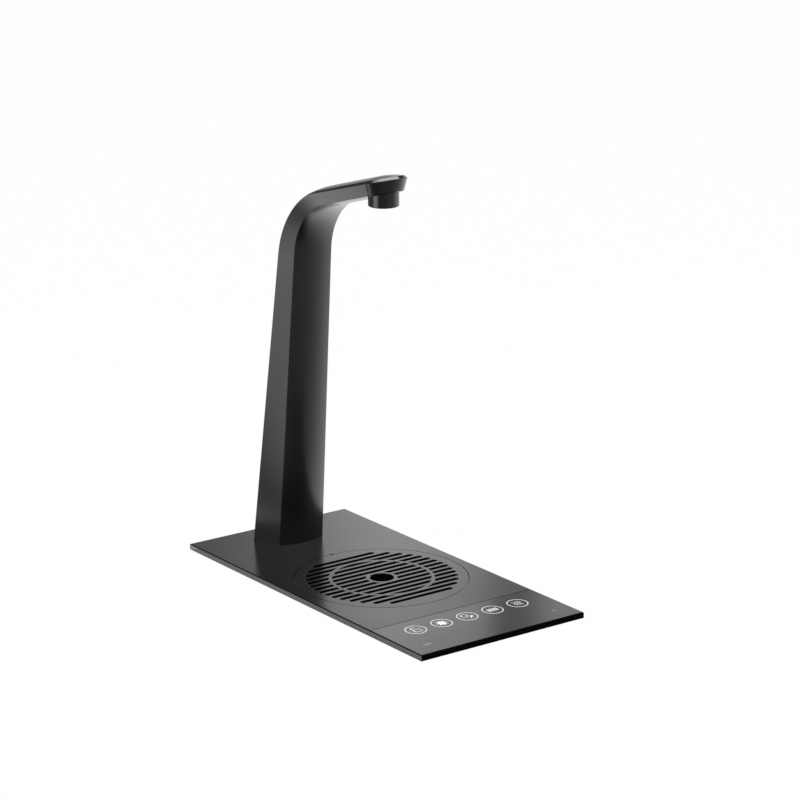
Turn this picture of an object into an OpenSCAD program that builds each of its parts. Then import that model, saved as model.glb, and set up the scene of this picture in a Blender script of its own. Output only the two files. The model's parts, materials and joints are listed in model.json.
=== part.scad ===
// Hot, chilled and sparkling water tap with a touch panel and a drip tray, set into a worktop.
// Origin: the mounting shank's axis at the worktop's top face. -Y is the front, +Z is up.

/* [Base plate] */
// Width of the base plate
plate_w = 160; // [156:1:170]
// Length of the base plate, front to back
plate_l = 325; // [318:1:340]
// Thickness of the base plate
plate_t = 5; // [4.8:0.1:6]
// Chamfer along the plate's top edges
plate_chamfer = 0.75; // [0.4:0.05:0.9]
// Distance from the shank's axis back to the plate's rear edge
plate_back = 37; // [35:0.5:39]
// Width of the worktop gasket
gasket_w = 3; // [2:0.1:3.2]
// Thickness of the worktop gasket
gasket_t = 1; // [0.6:0.1:1.4]
// Distance from the plate's edge to the worktop gasket
gasket_inset = 1.5; // [1:0.1:2]

/* [Touch panel] */
// Length of the glass touch panel, front to back
panel_l = 66.9; // [62:0.1:70]
// Thickness of the glass
panel_t = 2; // [1.5:0.1:2.2]
// Width of the seam between the glass and the plate
panel_seam = 0.3; // [0.2:0.05:0.5]
// Thickness of the icon diffuser sheet
diffuser_t = 0.5; // [0.3:0.1:0.6]
// Thickness of the touch circuit board
pcb_t = 1.6; // [1.2:0.1:1.6]
// Radius of a key's light well in the diffuser
key_well_r = 9; // [6:0.1:9.5]
// Distance from the side of the board's window to the outermost light well
key_margin = 5.6; // [4:0.1:8]

/* [Control box] */
// Distance from the plate's side to the control box
box_side = 13; // [13:0.5:16]
// Length of the control box, front to back
box_l = 46; // [40:1:48]
// Depth of the control box below the plate
box_d = 20; // [16:1:26]
// Wall of the control box
box_wall = 2; // [1.6:0.1:2.4]
// Radius of the cable gland's bore
gland_bore_r = 2.75; // [2:0.05:3.5]

/* [Drip grille] */
// Radius of the lift-out grille
grille_r = 71.2; // [68:0.1:72]
// Thickness of the grille
grille_t = 2.5; // [2:0.1:2.8]
// Share of the free plate between column and glass that lies behind the grille
grille_back_share = 0.635; // [0.5:0.005:0.66]
// Width of a drain slot
slot_w = 3.8; // [3:0.1:4]
// Pitch of the drain slots
slot_pitch = 7.7; // [7:0.1:8]
// Number of slot rows on each side of the middle row
slot_rows = 7; // [5:1:7]
// Radius that the slots' outer ends lie on
slot_field_r = 62; // [59:0.1:63]
// Inner radius of the solid band that splits the slots
band_r = 40.2; // [38:0.1:40.6]
// Width of the solid band
band_w = 3.6; // [3:0.1:3.8]
// Radius of the grille's middle hole
hub_hole_r = 9.7; // [8:0.1:11]
// Width of the rim round the middle hole
hub_rim_w = 3.6; // [3:0.1:4]
// Radius of the locating notch at the back of the grille
notch_r = 1.6; // [1:0.1:2]

/* [Drip bowl] */
// Radius of the plate's opening over the bowl
bowl_hole_r = 66; // [65:0.1:66.5]
// Depth of the bowl at its wall
bowl_wall_d = 18; // [14:0.5:24]
// Further depth of the bowl at its drain
bowl_fall = 6; // [4:0.5:8]
// Wall of the bowl
bowl_wall = 2; // [1.5:0.1:2.2]
// Width of the bowl's flange beyond its wall
flange_w = 4.9; // [4.5:0.1:5.2]

/* [Drain] */
// Radius of the drain tail that the hose pushes onto
tail_r = 9.5; // [8.5:0.1:9.8]
// Length of the plain hose end
tail_l = 18; // [14:0.5:24]
// Radius of the threaded part of the drain spigot
spigot_r = 10.4; // [10.2:0.1:11]
// Length of the threaded part below the bowl
spigot_l = 16; // [14:0.5:20]
// Radius of the water way through the spigot
drain_bore_r = 7.5; // [6.5:0.1:7.8]
// Radius of the spigot's flange inside the bowl
spigot_flange_r = 14; // [13.5:0.1:15]

/* [Column] */
// Half the width of the column's back at the foot
back_half_foot = 31.4; // [30:0.1:33]
// Half the width of the column's back where the bend starts
back_half_bend = 24.3; // [23:0.1:26]
// Half the width of the arm's top where the bend ends
top_half_bend = 21.8; // [21:0.1:23]
// Half the width of the arm's top at the nozzle
top_half_nose = 18.9; // [18:0.1:20]
// Half the width of the column's front at the foot
front_half_foot = 22.1; // [21:0.1:23]
// Half the width of the column's front where the bend starts
front_half_bend = 18.5; // [18:0.1:19.5]
// Half the width of the arm's underside where the bend ends
under_half_bend = 17.6; // [17:0.1:18.4]
// Half the width of the arm's underside at the nozzle
under_half_nose = 16.2; // [16:0.1:17]
// How far behind the shank's axis the column's back stands at the foot
back_foot_y = 14.6; // [14:0.1:16]
// How far in front of the shank's axis the column's front stands at the foot
front_foot_y = 11.8; // [11:0.1:13]
// Forward lean of the column's back, in degrees
back_lean = 7.04; // [6.8:0.02:7.3]
// Forward lean of the column's front, in degrees
front_lean = 4.72; // [4.5:0.02:4.9]
// Rise of the arm towards its end, in degrees
arm_rise = 15.94; // [14:0.02:17]
// Radius of the outer bend
outer_bend_r = 71.1; // [68:0.1:74]
// Radius of the inner bend
inner_bend_r = 55; // [52:0.1:58]
// Height of the arm's top edge over the plate, at the nozzle
arm_top_h = 331.3; // [325:0.1:340]
// Thickness of the arm between its top and lower edges, at the nozzle
arm_depth = 12.3; // [12:0.1:13]
// Depth of the bevel between the back and the side
bevel_d = 1.8; // [1.4:0.1:2]
// Depth of the bevel round the nose
nose_bevel_d = 2.4; // [1.8:0.1:2.6]
// Width of the bevel between the back and the side
bevel_w = 2.2; // [1.6:0.1:2.6]
// Crown of the back and top
crown = 2.75; // [2.4:0.05:3.2]
// Bulge of the front at the foot
foot_bulge = 5.5; // [5:0.1:6]
// Bulge of the front where the bend starts
bend_bulge = 3.4; // [3:0.1:4]
// Bulge of the underside at the nozzle
nose_bulge = 1.9; // [1.7:0.1:2.1]
// Wall of the column
column_wall = 2.5; // [2:0.1:2.6]
// Height of the foot block inside the column
foot_block_h = 12; // [10:0.5:16]

/* [Nozzle] */
// Distance from the shank's axis forward to the nozzle's axis
reach = 131; // [129:0.1:134]
// Radius of the nozzle
nozzle_r = 12.35; // [12:0.05:12.6]
// Length of the nozzle
nozzle_l = 12.5; // [11:0.1:14]
// Wall of the nozzle
nozzle_wall = 2.3; // [2:0.1:2.5]
// Radius of the opening in the nozzle's end
mouth_r = 8.5; // [7:0.1:8.8]
// Thickness of the nozzle's end lip
lip_t = 1.2; // [1:0.1:1.5]
// Thickness of the flow straightener
straightener_t = 3.2; // [2.5:0.1:3.5]

/* [Water tubes] */
// Outer radius of a water tube
tube_r = 3.175; // [3:0.025:3.2]
// Wall of a water tube
tube_wall = 1.15; // [0.9:0.05:1.2]
// Pitch of the three tubes
tube_pitch = 7.2; // [7:0.05:7.3]
// Bend radius of the tubes under the arm
tube_bend_r = 63; // [61:0.5:65]
// Bend radius of the tubes in the foot
foot_tube_bend_r = 80; // [60:1:100]
// Length of the tube tails below the plate
tube_tail = 135; // [120:1:160]
// Thickness of the tube spacer
spacer_t = 8; // [6:0.5:10]
// Thickness of the outlet block
block_t = 7.6; // [7.4:0.1:7.7]
// Length of the outlet block behind the nozzle's axis
block_back_l = 28; // [26:0.5:30]
// Length of a tube's seat in the outlet block
socket_l = 11; // [9:0.5:12]

/* [Mounting] */
// Radius of the shank's thread
shank_r = 13.2; // [13:0.1:13.4]
// Radius of the shank's bore
shank_bore_r = 11.3; // [11.2:0.05:11.5]
// Radius of the shank's centring shoulder
shoulder_r = 14.5; // [14.2:0.1:15.5]
// Length of the shank's centring shoulder
shoulder_l = 8; // [6:0.5:9]
// Length of the shank below the plate
shank_l = 75; // [70:1:80]
// Thickness of the worktop that the clamp is drawn for
worktop_t = 30; // [22:1:36]
// Thickness of the shank's rubber washer
washer_t = 3; // [2:0.1:4]
// Outer radius of the shank's rubber washer
washer_r = 22; // [20:0.5:24]
// Width of the steel clamp plate
clamp_w = 64; // [56:1:70]
// Length of the steel clamp plate
clamp_l = 46; // [42:1:50]
// Thickness of the steel clamp plate
clamp_t = 3; // [2:0.1:4]
// Width of the backnut across its flats
backnut_af = 38; // [36:0.5:41]
// Thickness of the backnut
backnut_t = 8; // [6:0.5:10]

/* [Hidden] */
// Overrun of a cut past the faces that it opens
over = 1;
// Gap between a moving piece and its seat
seat_gap = 0.3;
// Radial gap of a thread or a spigot in its hole
thread_gap = 0.05;
// Gap round a fixed piece in its recess
fit_gap = 0.15;
// Gap round a piece that drops in loosely
loose_gap = 0.5;
// Gap round the grille in the plate
grille_gap = 0.25;
// Smoothness of round pieces
$fn = 96;

// Machine screws of the foot, box and bowl
m4_r = 2;
m4_head_r = 4;
m4_hole_r = 2.25;
m3_r = 1.5;
m3_head_r = 2.75;
m3_head_t = 1.8;
m3_hole_r = 1.75;
screw_drive_r = 1.2;
screw_drive_d = 1;
screw_l = 4.8;
box_screw_l = 3.6;
foot_screw_l = 13;
screw_tip_gap = 0.4;

// Places on the plate
front_y = plate_back - plate_l;
mid_y = plate_back - plate_l / 2;
panel_back_y = front_y + panel_l;
panel_mid_y = front_y + panel_l / 2;
column_front_y = -front_foot_y - foot_bulge;
free_l = column_front_y - panel_back_y - 2 * grille_r;
grille_y = column_front_y - free_l * grille_back_share - grille_r;
nozzle_y = -reach;

// Touch panel, its window and its board
box_w = plate_w - 2 * box_side;
window_margin = 2;
window_w = box_w - 2 * window_margin;
window_l = box_l - 2 * window_margin;
key_inset = 19.1;
key_y = panel_back_y - key_inset;
side_keys = 2;
key_pitch = (window_w / 2 - key_margin - key_well_r) / side_keys;
chip_w = 14;
chip_l = 10;
chip_t = 1.2;
pcb_top_z = plate_t - panel_t - diffuser_t;
pcb_bottom_z = pcb_top_z - pcb_t;
post_w = 6;
box_flange_t = 2;
lug_r = 5;
box_lug_x = box_w / 2 + m3_head_r;
box_lug_y = box_l / 2 - lug_r;
bowl_screw_bite = screw_l - bowl_wall;
box_screw_bite = box_screw_l - box_flange_t;
gland_r = 6;
gland_flange_af = 17;
gland_flange_t = 4;
gland_l = 16;
gland_x = -40;

// Grille pads and the ledge that they stand on
pad_r = 1.3;
pad_t = 0.4;
pad_count = 4;
ledge_z = plate_t - grille_t - pad_t;
recess_r = grille_r + grille_gap;
pad_ring_r = (bowl_hole_r + recess_r) / 2;

// Drip bowl
bowl_top_r = bowl_hole_r + loose_gap;
bowl_draft = 2.5;
bowl_low_r = bowl_top_r - bowl_draft;
bowl_sump_r = 16;
bowl_flange_r = bowl_top_r + bowl_wall + flange_w;
bowl_seal_w = 1.8;
seal_margin = 1;
bowl_seal_r = bowl_top_r + bowl_wall + seal_margin;
seal_t = 1;
bowl_lug_bite = 2;
bowl_lug_ring_r = bowl_flange_r + lug_r - bowl_lug_bite;
bowl_lug_count = 4;
bowl_lug_turn = 45;
bowl_floor_z = -bowl_wall_d - bowl_fall;

// Drain
drain_washer_t = 2;
drain_washer_r = 16;
drain_nut_af = 30;
drain_nut_t = 6;
spigot_flange_t = 3;
strainer_r = 12;
strainer_t = 1.2;
strainer_hole_r = 1.5;
strainer_ring_r = 7.6;
strainer_ring_holes = 8;
strainer_mid_r = 3.6;
strainer_mid_holes = 4;
barb_rise = 0.6;

// Steps of the column's loft
bend_steps = 14;
arm_steps = 2;
column_steps = 3;
nose_steps = 7;
nose_sweep = 84;
face_steps = 8;

// Column foot and gasket
column_gasket_t = 0.5;
column_gasket_inset = 1;
foot_screw_x = 17;
foot_screw_y = -7;
rear_screw_x = 21.5;
rear_screw_y = 8;

// Nozzle and its seal
nozzle_top_drop = 9.1;
nozzle_top_z = plate_t + arm_top_h - nozzle_top_drop;
nozzle_edge = 0.5;
nozzle_seal_t = 1.6;
nozzle_seal_w = 1.4;
mouth_z = nozzle_top_z - nozzle_l;
straightener_z = mouth_z + lip_t;
nozzle_seal_z = straightener_z + straightener_t;
spout_z = nozzle_seal_z + nozzle_seal_t + seat_gap;
straightener_hole_r = 0.9;
straightener_rings = 3;
straightener_ring_pitch = 2.3;
straightener_holes_per_ring = 6;
spout_bore_r = 4;
passage_r = 1.2;
passage_rise = 2.5;
block_rise = 0.3;
block_cheek = 1.6;
block_half_w = tube_pitch + tube_r + block_cheek;
spacer_share = 0.55;
foot_bend_steps = 2;
tube_bend_steps = 10;
tube_sides = 24;

// Shank washer, clamp plate and backnut
clamp_hole_gap = 0.6;
clamp_corner_r = 6;
backnut_gap = 0.1;

// Place of point k of n along a line from a to b
function mix(a, b, k) = a + (b - a) * k;
function unit(v) = v / norm(v);

// Side view, as [y, z]. A profile is a line up from the foot, an arc, and a line along the arm.
arm_dir = [-cos(arm_rise), sin(arm_rise)];
function up_dir(lean) = [-sin(lean), cos(lean)];
function cross2(a, b) = a[0] * b[1] - a[1] * b[0];
function corner(foot, lean, tip) =
    foot + up_dir(lean) * cross2(tip - foot, arm_dir) / cross2(up_dir(lean), arm_dir);
function turn(lean) = 90 - lean - arm_rise;
function bend_start(foot, lean, tip, r) =
    corner(foot, lean, tip) - up_dir(lean) * r * tan(turn(lean) / 2);
function bend_centre(foot, lean, tip, r) =
    bend_start(foot, lean, tip, r) - r * [cos(lean), sin(lean)];
function bend_point(foot, lean, tip, r, k) =
    bend_centre(foot, lean, tip, r) + r * [cos(lean + turn(lean) * k), sin(lean + turn(lean) * k)];

// The outer profile follows the back and top, the inner one the front and underside
outer_foot = [back_foot_y, plate_t];
inner_foot = [-front_foot_y, plate_t];
outer_tip = [nozzle_y, plate_t + arm_top_h];
inner_tip = outer_tip - [0, arm_depth];
function outer_bend(k) = bend_point(outer_foot, back_lean, outer_tip, outer_bend_r, k);
function inner_bend(k) = bend_point(inner_foot, front_lean, inner_tip, inner_bend_r, k);

// A station is [outer point, inner point, outer half width, inner half width, bulge, bevel, nose angle]
function column_station(k) = [
    mix(outer_foot, outer_bend(0), k),
    mix(inner_foot, inner_bend(0), k),
    mix(back_half_foot, back_half_bend, k),
    mix(front_half_foot, front_half_bend, k),
    mix(foot_bulge, bend_bulge, k),
    bevel_d,
    0];
function bend_station(k) = [
    outer_bend(k),
    inner_bend(k),
    mix(back_half_bend, top_half_bend, k),
    mix(front_half_bend, under_half_bend, k),
    mix(bend_bulge, nose_bulge, k),
    bevel_d,
    0];
function arm_station(k) = [
    mix(outer_bend(1), outer_tip, k),
    mix(inner_bend(1), inner_tip, k),
    mix(top_half_bend, top_half_nose, k),
    mix(under_half_bend, under_half_nose, k),
    nose_bulge,
    mix(bevel_d, nose_bevel_d, k),
    0];
function nose_station(angle) = [
    outer_tip,
    inner_tip,
    top_half_nose,
    under_half_nose,
    nose_bulge,
    nose_bevel_d,
    angle];
stations = concat(
    [for (i = [0:column_steps - 1]) column_station(i / column_steps)],
    [for (i = [0:bend_steps]) bend_station(i / bend_steps)],
    [for (i = [1:arm_steps]) arm_station(i / arm_steps)],
    [for (i = [1:nose_steps]) nose_station(nose_sweep * i / nose_steps)]);

// One point of a station: x across, depth inwards from the outer point, run along the arm
function place(s, x, depth, run, inset) =
    let (inward = unit(s[1] - s[0]))
    let (p = s[0] + inward * depth + arm_dir * run * sin(s[6]))
    [x * cos(s[6]), p[0], p[1]];
function ring_depth(s) = norm(s[1] - s[0]);
// The ring of a station, shrunk by an inset: crown, right bevel, bulge, left bevel
function ring(s, inset) =
    let (wide = s[2] - inset)
    let (flat = s[2] - inset - bevel_w)
    let (narrow = s[3] - inset)
    let (low = ring_depth(s) - inset)
    let (fade = cos(s[6]) * cos(s[6]))
    concat(
        [for (i = [0:face_steps]) let (t = 2 * i / face_steps - 1)
            place(s, t * flat, inset - crown * fade * (1 - t * t), flat)],
        [place(s, wide, inset + s[5], wide)],
        [for (i = [0:face_steps]) let (t = 1 - 2 * i / face_steps)
            place(s, t * narrow, low + s[4] * fade * (1 - t * t), narrow)],
        [place(s, -wide, inset + s[5], wide)]);
ring_n = 2 * face_steps + 4;
function rings(list, inset) = [for (s = list) each ring(s, inset)];

// Faces of a skin of rings, of its two ends and of the rim between an outer and an inner skin
function skin_faces(count, base, n) = [for (j = [0:count - 2]) for (i = [0:n - 1])
    let (a = base + j * n + i)
    let (b = base + j * n + (i + 1) % n)
    each [[a, b, b + n], [a, b + n, a + n]]];
// An end is closed by strips between mirrored points: crown, bevel, side, bulge
half_steps = face_steps / 2;
ladder_share = concat(
    [for (i = [0:half_steps]) [half_steps - i, half_steps + i]],
    [[ring_n - 1, face_steps + 1]],
    [for (i = [0:half_steps]) [ring_n - 2 - i, face_steps + 2 + i]]);
function cap_faces(base) = [for (i = [0:len(ladder_share) - 2])
    let (a = ladder_share[i])
    let (b = ladder_share[i + 1])
    each concat(
        a[0] == a[1] ? [] : [[base + a[0], base + a[1], base + b[1]]],
        b[0] == b[1] ? [] : [[base + a[0], base + b[1], base + b[0]]])];
function flip(faces) = [for (f = faces) [f[2], f[1], f[0]]];
function rim_faces(a, b, n) = [for (i = [0:n - 1])
    let (j = (i + 1) % n)
    each [[a + i, b + i, b + j], [a + i, b + j, a + j]]];

// Solid loft through a list of stations
module loft(list, inset) {
    last = (len(list) - 1) * ring_n;
    polyhedron(
        rings(list, inset),
        concat(skin_faces(len(list), 0, ring_n), flip(cap_faces(0)), cap_faces(last)));
}

// Outline of the column's foot, shrunk by an inset
module foot_outline(inset) {
    polygon([for (p = ring(stations[0], inset)) [p[0], p[1]]]);
}

// Carries its children to the arm: origin on the nozzle's axis midway down the arm, y back along the arm
module on_arm() {
    mid = (outer_tip + inner_tip) / 2;
    translate([0, mid[0], mid[1]])
        rotate([-arm_rise, 0, 0])
            children();
}

module hexagon(af, h) {
    cylinder(r = af / sqrt(3), h = h, $fn = 6);
}

// Places of the screws
module at_foot_screws() {
    for (side = [-1, 1]) {
        translate([side * foot_screw_x, foot_screw_y, 0]) children();
        translate([side * rear_screw_x, rear_screw_y, 0]) children();
    }
}
module at_bowl_lugs() {
    for (i = [0:bowl_lug_count - 1])
        translate([0, grille_y, 0])
            rotate([0, 0, bowl_lug_turn + i * 360 / bowl_lug_count])
                translate([bowl_lug_ring_r, 0, 0])
                    children();
}
module at_box_lugs() {
    for (sx = [-1, 1])
        for (sy = [-1, 1])
            translate([sx * box_lug_x, panel_mid_y + sy * box_lug_y, 0])
                children();
}

// Slab with its top edges chamfered, its middle at the origin
module chamfered_slab(w, l, z0, z1, edge) {
    intersection() {
        translate([0, l / 2, 0])
            rotate([90, 0, 0])
                linear_extrude(l)
                    polygon([[-w / 2, z0], [w / 2, z0], [w / 2, z1 - edge], [w / 2 - edge, z1],
                        [edge - w / 2, z1], [-w / 2, z1 - edge]]);
        translate([-w / 2, 0, 0])
            rotate([90, 0, 90])
                linear_extrude(w)
                    polygon([[-l / 2, z0], [l / 2, z0], [l / 2, z1 - edge], [l / 2 - edge, z1],
                        [edge - l / 2, z1], [-l / 2, z1 - edge]]);
    }
}

// Square-cornered ring along the plate's edge
module edge_ring(inset, w, h) {
    linear_extrude(h)
        difference() {
            square([plate_w - 2 * inset, plate_l - 2 * inset], center = true);
            square([plate_w - 2 * inset - 2 * w, plate_l - 2 * inset - 2 * w], center = true);
        }
}

module base_plate() {
    color("#232427")
    difference() {
        translate([0, mid_y, 0])
            chamfered_slab(plate_w, plate_l, 0, plate_t, plate_chamfer);
        // Rebate for the glass
        translate([-plate_w / 2 - over, front_y - over, plate_t - panel_t])
            cube([plate_w + 2 * over, panel_l + over, panel_t + over]);
        // Window for the board
        translate([-window_w / 2, panel_mid_y - window_l / 2, -over])
            cube([window_w, window_l, plate_t + over]);
        // Recess and opening of the grille
        translate([0, grille_y, ledge_z])
            cylinder(r = recess_r, h = plate_t);
        translate([0, grille_y, -over])
            cylinder(r = bowl_hole_r, h = plate_t + 2 * over);
        // Hole of the shank
        translate([0, 0, -over])
            cylinder(r = shank_r + thread_gap, h = plate_t + 2 * over);
        // Pocket of the column's gasket
        translate([0, 0, plate_t - column_gasket_t])
            linear_extrude(plate_t)
                foot_outline(column_gasket_inset);
        // Groove of the worktop gasket
        translate([0, mid_y, -over])
            edge_ring(gasket_inset, gasket_w, gasket_t + over);
        // Countersunk holes of the foot's screws
        at_foot_screws() {
            translate([0, 0, -over])
                cylinder(r = m4_hole_r, h = plate_t + 2 * over);
            cylinder(r1 = m4_head_r + fit_gap, r2 = 0, h = m4_head_r + fit_gap);
        }
        // Blind holes of the bowl's and the box's screws
        at_bowl_lugs()
            translate([0, 0, -over])
                cylinder(r = m3_r + thread_gap, h = over + bowl_screw_bite + screw_tip_gap);
        at_box_lugs()
            translate([0, 0, -over])
                cylinder(r = m3_r + thread_gap, h = over + box_screw_bite + screw_tip_gap);
    }
}

module worktop_gasket() {
    color("#303033")
    translate([0, mid_y, 0])
        edge_ring(gasket_inset + thread_gap, gasket_w - 2 * thread_gap, gasket_t);
}

module touch_panel() {
    panel_y = front_y + (panel_l - panel_seam) / 2;
    color("#1b1c1f")
    intersection() {
        translate([0, mid_y, 0])
            chamfered_slab(plate_w, plate_l, plate_t - panel_t, plate_t, plate_chamfer);
        translate([-plate_w / 2 - over, panel_y - panel_l, 0])
            cube([plate_w + 2 * over, panel_l + (panel_l - panel_seam) / 2, plate_t + over]);
    }
}

module board_slab(t) {
    cube([window_w - 2 * fit_gap, window_l - 2 * fit_gap, t]);
}

module icon_diffuser() {
    color("#d9dadb")
    difference() {
        translate([fit_gap - window_w / 2, panel_mid_y - window_l / 2 + fit_gap, pcb_top_z])
            board_slab(diffuser_t);
        for (i = [-side_keys:side_keys])
            translate([i * key_pitch, key_y, pcb_top_z - over])
                cylinder(r = key_well_r, h = diffuser_t + 2 * over);
    }
}

module touch_pcb() {
    color("#1d5a37") {
        translate([fit_gap - window_w / 2, panel_mid_y - window_l / 2 + fit_gap, pcb_bottom_z])
            board_slab(pcb_t);
        // Touch controller and its two neighbours under the board
        for (i = [-1:1])
            translate([i * 2 * chip_w - chip_w / 2, panel_mid_y - chip_l / 2, pcb_bottom_z - chip_t])
                cube([chip_w, chip_l, chip_t]);
    }
}

module control_box() {
    color("#2a2b2e")
    difference() {
        union() {
            translate([-box_w / 2, panel_mid_y - box_l / 2, -box_d])
                cube([box_w, box_l, box_d]);
            at_box_lugs()
                translate([0, 0, -box_flange_t])
                    cylinder(r = lug_r, h = box_flange_t);
            // Posts that carry the board
            for (sx = [-1, 1])
                for (sy = [-1, 1])
                    translate([sx * (window_w / 2 - post_w / 2 - fit_gap) - post_w / 2,
                        panel_mid_y + sy * (window_l / 2 - post_w / 2 - fit_gap) - post_w / 2, -box_d])
                        cube([post_w, post_w, box_d + pcb_bottom_z]);
        }
        difference() {
            translate([box_wall - box_w / 2, panel_mid_y - box_l / 2 + box_wall, box_wall - box_d])
                cube([box_w - 2 * box_wall, box_l - 2 * box_wall, box_d + over]);
            for (sx = [-1, 1])
                for (sy = [-1, 1])
                    translate([sx * (window_w / 2 - post_w / 2 - fit_gap) - post_w / 2,
                        panel_mid_y + sy * (window_l / 2 - post_w / 2 - fit_gap) - post_w / 2, -box_d])
                        cube([post_w, post_w, box_d + plate_t]);
        }
        at_box_lugs()
            translate([0, 0, -box_d])
                cylinder(r = m3_hole_r, h = box_d + over);
        translate([gland_x, panel_mid_y, -box_d - over])
            cylinder(r = gland_r + thread_gap, h = box_wall + 2 * over);
    }
}

// Pan-head screw, head down, its head's seat at z = 0
module pan_screw(l) {
    difference() {
        union() {
            translate([0, 0, -m3_head_t])
                cylinder(r = m3_head_r, h = m3_head_t);
            cylinder(r = m3_r, h = l);
        }
        translate([0, 0, -m3_head_t - over])
            cylinder(r = screw_drive_r, h = screw_drive_d + over, $fn = 6);
    }
}

module control_box_screws() {
    color("silver")
    at_box_lugs()
        translate([0, 0, -box_flange_t])
            pan_screw(box_screw_l);
}

module cable_gland() {
    color("#3a3b3e")
    translate([gland_x, panel_mid_y, -box_d])
        difference() {
            union() {
                cylinder(r = gland_r, h = box_wall + gland_flange_t);
                translate([0, 0, -gland_flange_t])
                    hexagon(gland_flange_af, gland_flange_t);
                translate([0, 0, -gland_l])
                    cylinder(r = gland_r, h = gland_l);
            }
            translate([0, 0, -gland_l - over])
                cylinder(r = gland_bore_r, h = gland_l + gland_flange_t + box_wall + 2 * over);
        }
}

// One round-ended slot that reaches a distance to each side
module slot(reach_x) {
    for (side = [-1, 1])
        translate([side * (reach_x - slot_w / 2), 0]) circle(r = slot_w / 2, $fn = 24);
    square([2 * reach_x - slot_w, slot_w], center = true);
}
// Half the chord of a circle at a height
function half_chord(r, y) = sqrt(r * r - y * y);

// Rows of slots, split by the band and by the rim round the middle hole
module drain_slots() {
    difference() {
        for (i = [-slot_rows:slot_rows])
            translate([0, i * slot_pitch]) slot(half_chord(slot_field_r, i * slot_pitch));
        difference() {
            circle(r = band_r + band_w);
            circle(r = band_r);
        }
        circle(r = hub_hole_r + hub_rim_w);
    }
}

module drip_grille() {
    color("#232427")
    translate([0, grille_y, plate_t - grille_t])
        difference() {
            cylinder(r = grille_r, h = grille_t);
            translate([0, 0, -over])
                cylinder(r = hub_hole_r, h = grille_t + 2 * over);
            translate([0, 0, -over])
                linear_extrude(grille_t + 2 * over)
                    drain_slots();
            // Locating notch at the back
            translate([0, grille_r, -over])
                cylinder(r = notch_r, h = grille_t + 2 * over);
        }
}

module grille_pads() {
    color("#1a1a1a")
    for (i = [0:pad_count - 1])
        translate([0, grille_y, ledge_z])
            rotate([0, 0, bowl_lug_turn + i * 360 / pad_count])
                translate([pad_ring_r, 0, 0])
                    cylinder(r = pad_r, h = pad_t, $fn = 32);
}

module drip_bowl() {
    color("#18191b")
    difference() {
        union() {
            translate([0, grille_y, 0])
                rotate_extrude()
                    polygon([
                        [bowl_top_r, 0],
                        [bowl_flange_r, 0],
                        [bowl_flange_r, -bowl_wall],
                        [bowl_top_r + bowl_wall, -bowl_wall],
                        [bowl_low_r + bowl_wall, -bowl_wall_d - bowl_wall],
                        [bowl_sump_r, bowl_floor_z - bowl_wall],
                        [spigot_r + thread_gap, bowl_floor_z - bowl_wall],
                        [spigot_r + thread_gap, bowl_floor_z],
                        [bowl_sump_r, bowl_floor_z],
                        [bowl_low_r, -bowl_wall_d]]);
            at_bowl_lugs()
                translate([0, 0, -bowl_wall])
                    cylinder(r = lug_r, h = bowl_wall);
        }
        translate([0, grille_y, -seal_t])
            difference() {
                cylinder(r = bowl_seal_r + bowl_seal_w, h = seal_t + over);
                translate([0, 0, -over])
                    cylinder(r = bowl_seal_r, h = seal_t + 3 * over);
            }
        at_bowl_lugs()
            translate([0, 0, -bowl_wall - over])
                cylinder(r = m3_hole_r, h = bowl_wall + 2 * over);
    }
}

module bowl_seal() {
    color("#3a3a3a")
    translate([0, grille_y, -seal_t])
        difference() {
            cylinder(r = bowl_seal_r + bowl_seal_w - thread_gap, h = seal_t);
            translate([0, 0, -over])
                cylinder(r = bowl_seal_r + thread_gap, h = seal_t + 2 * over);
        }
}

module bowl_screws() {
    color("silver")
    at_bowl_lugs()
        translate([0, 0, -bowl_wall])
            pan_screw(screw_l);
}

module drain_strainer() {
    color("silver")
    translate([0, grille_y, bowl_floor_z + spigot_flange_t - strainer_t])
        difference() {
            cylinder(r = strainer_r - fit_gap, h = strainer_t);
            for (i = [0:strainer_ring_holes - 1])
                rotate([0, 0, i * 360 / strainer_ring_holes])
                    translate([strainer_ring_r, 0, -over])
                        cylinder(r = strainer_hole_r, h = strainer_t + 2 * over, $fn = 24);
            for (i = [0:strainer_mid_holes - 1])
                rotate([0, 0, i * 360 / strainer_mid_holes])
                    translate([strainer_mid_r, 0, -over])
                        cylinder(r = strainer_hole_r, h = strainer_t + 2 * over, $fn = 24);
        }
}

spigot_end_z = bowl_floor_z - bowl_wall - spigot_l;
module drain_spigot() {
    color("#2c2d30")
    translate([0, grille_y, 0])
        rotate_extrude()
            polygon([
                [drain_bore_r, bowl_floor_z + spigot_flange_t - strainer_t],
                [strainer_r, bowl_floor_z + spigot_flange_t - strainer_t],
                [strainer_r, bowl_floor_z + spigot_flange_t],
                [spigot_flange_r, bowl_floor_z + spigot_flange_t],
                [spigot_flange_r, bowl_floor_z],
                [spigot_r, bowl_floor_z],
                [spigot_r, spigot_end_z],
                [tail_r, spigot_end_z],
                [tail_r, spigot_end_z - tail_l],
                [drain_bore_r, spigot_end_z - tail_l]]);
}

module drain_washer() {
    color("#404040")
    translate([0, grille_y, bowl_floor_z - bowl_wall - drain_washer_t])
        difference() {
            cylinder(r = drain_washer_r, h = drain_washer_t);
            translate([0, 0, -over])
                cylinder(r = spigot_r + thread_gap, h = drain_washer_t + 2 * over);
        }
}

module drain_nut() {
    color("#2c2d30")
    translate([0, grille_y, bowl_floor_z - bowl_wall - drain_washer_t - drain_nut_t])
        difference() {
            hexagon(drain_nut_af, drain_nut_t);
            translate([0, 0, -over])
                cylinder(r = spigot_r + thread_gap, h = drain_nut_t + 2 * over);
        }
}

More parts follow.
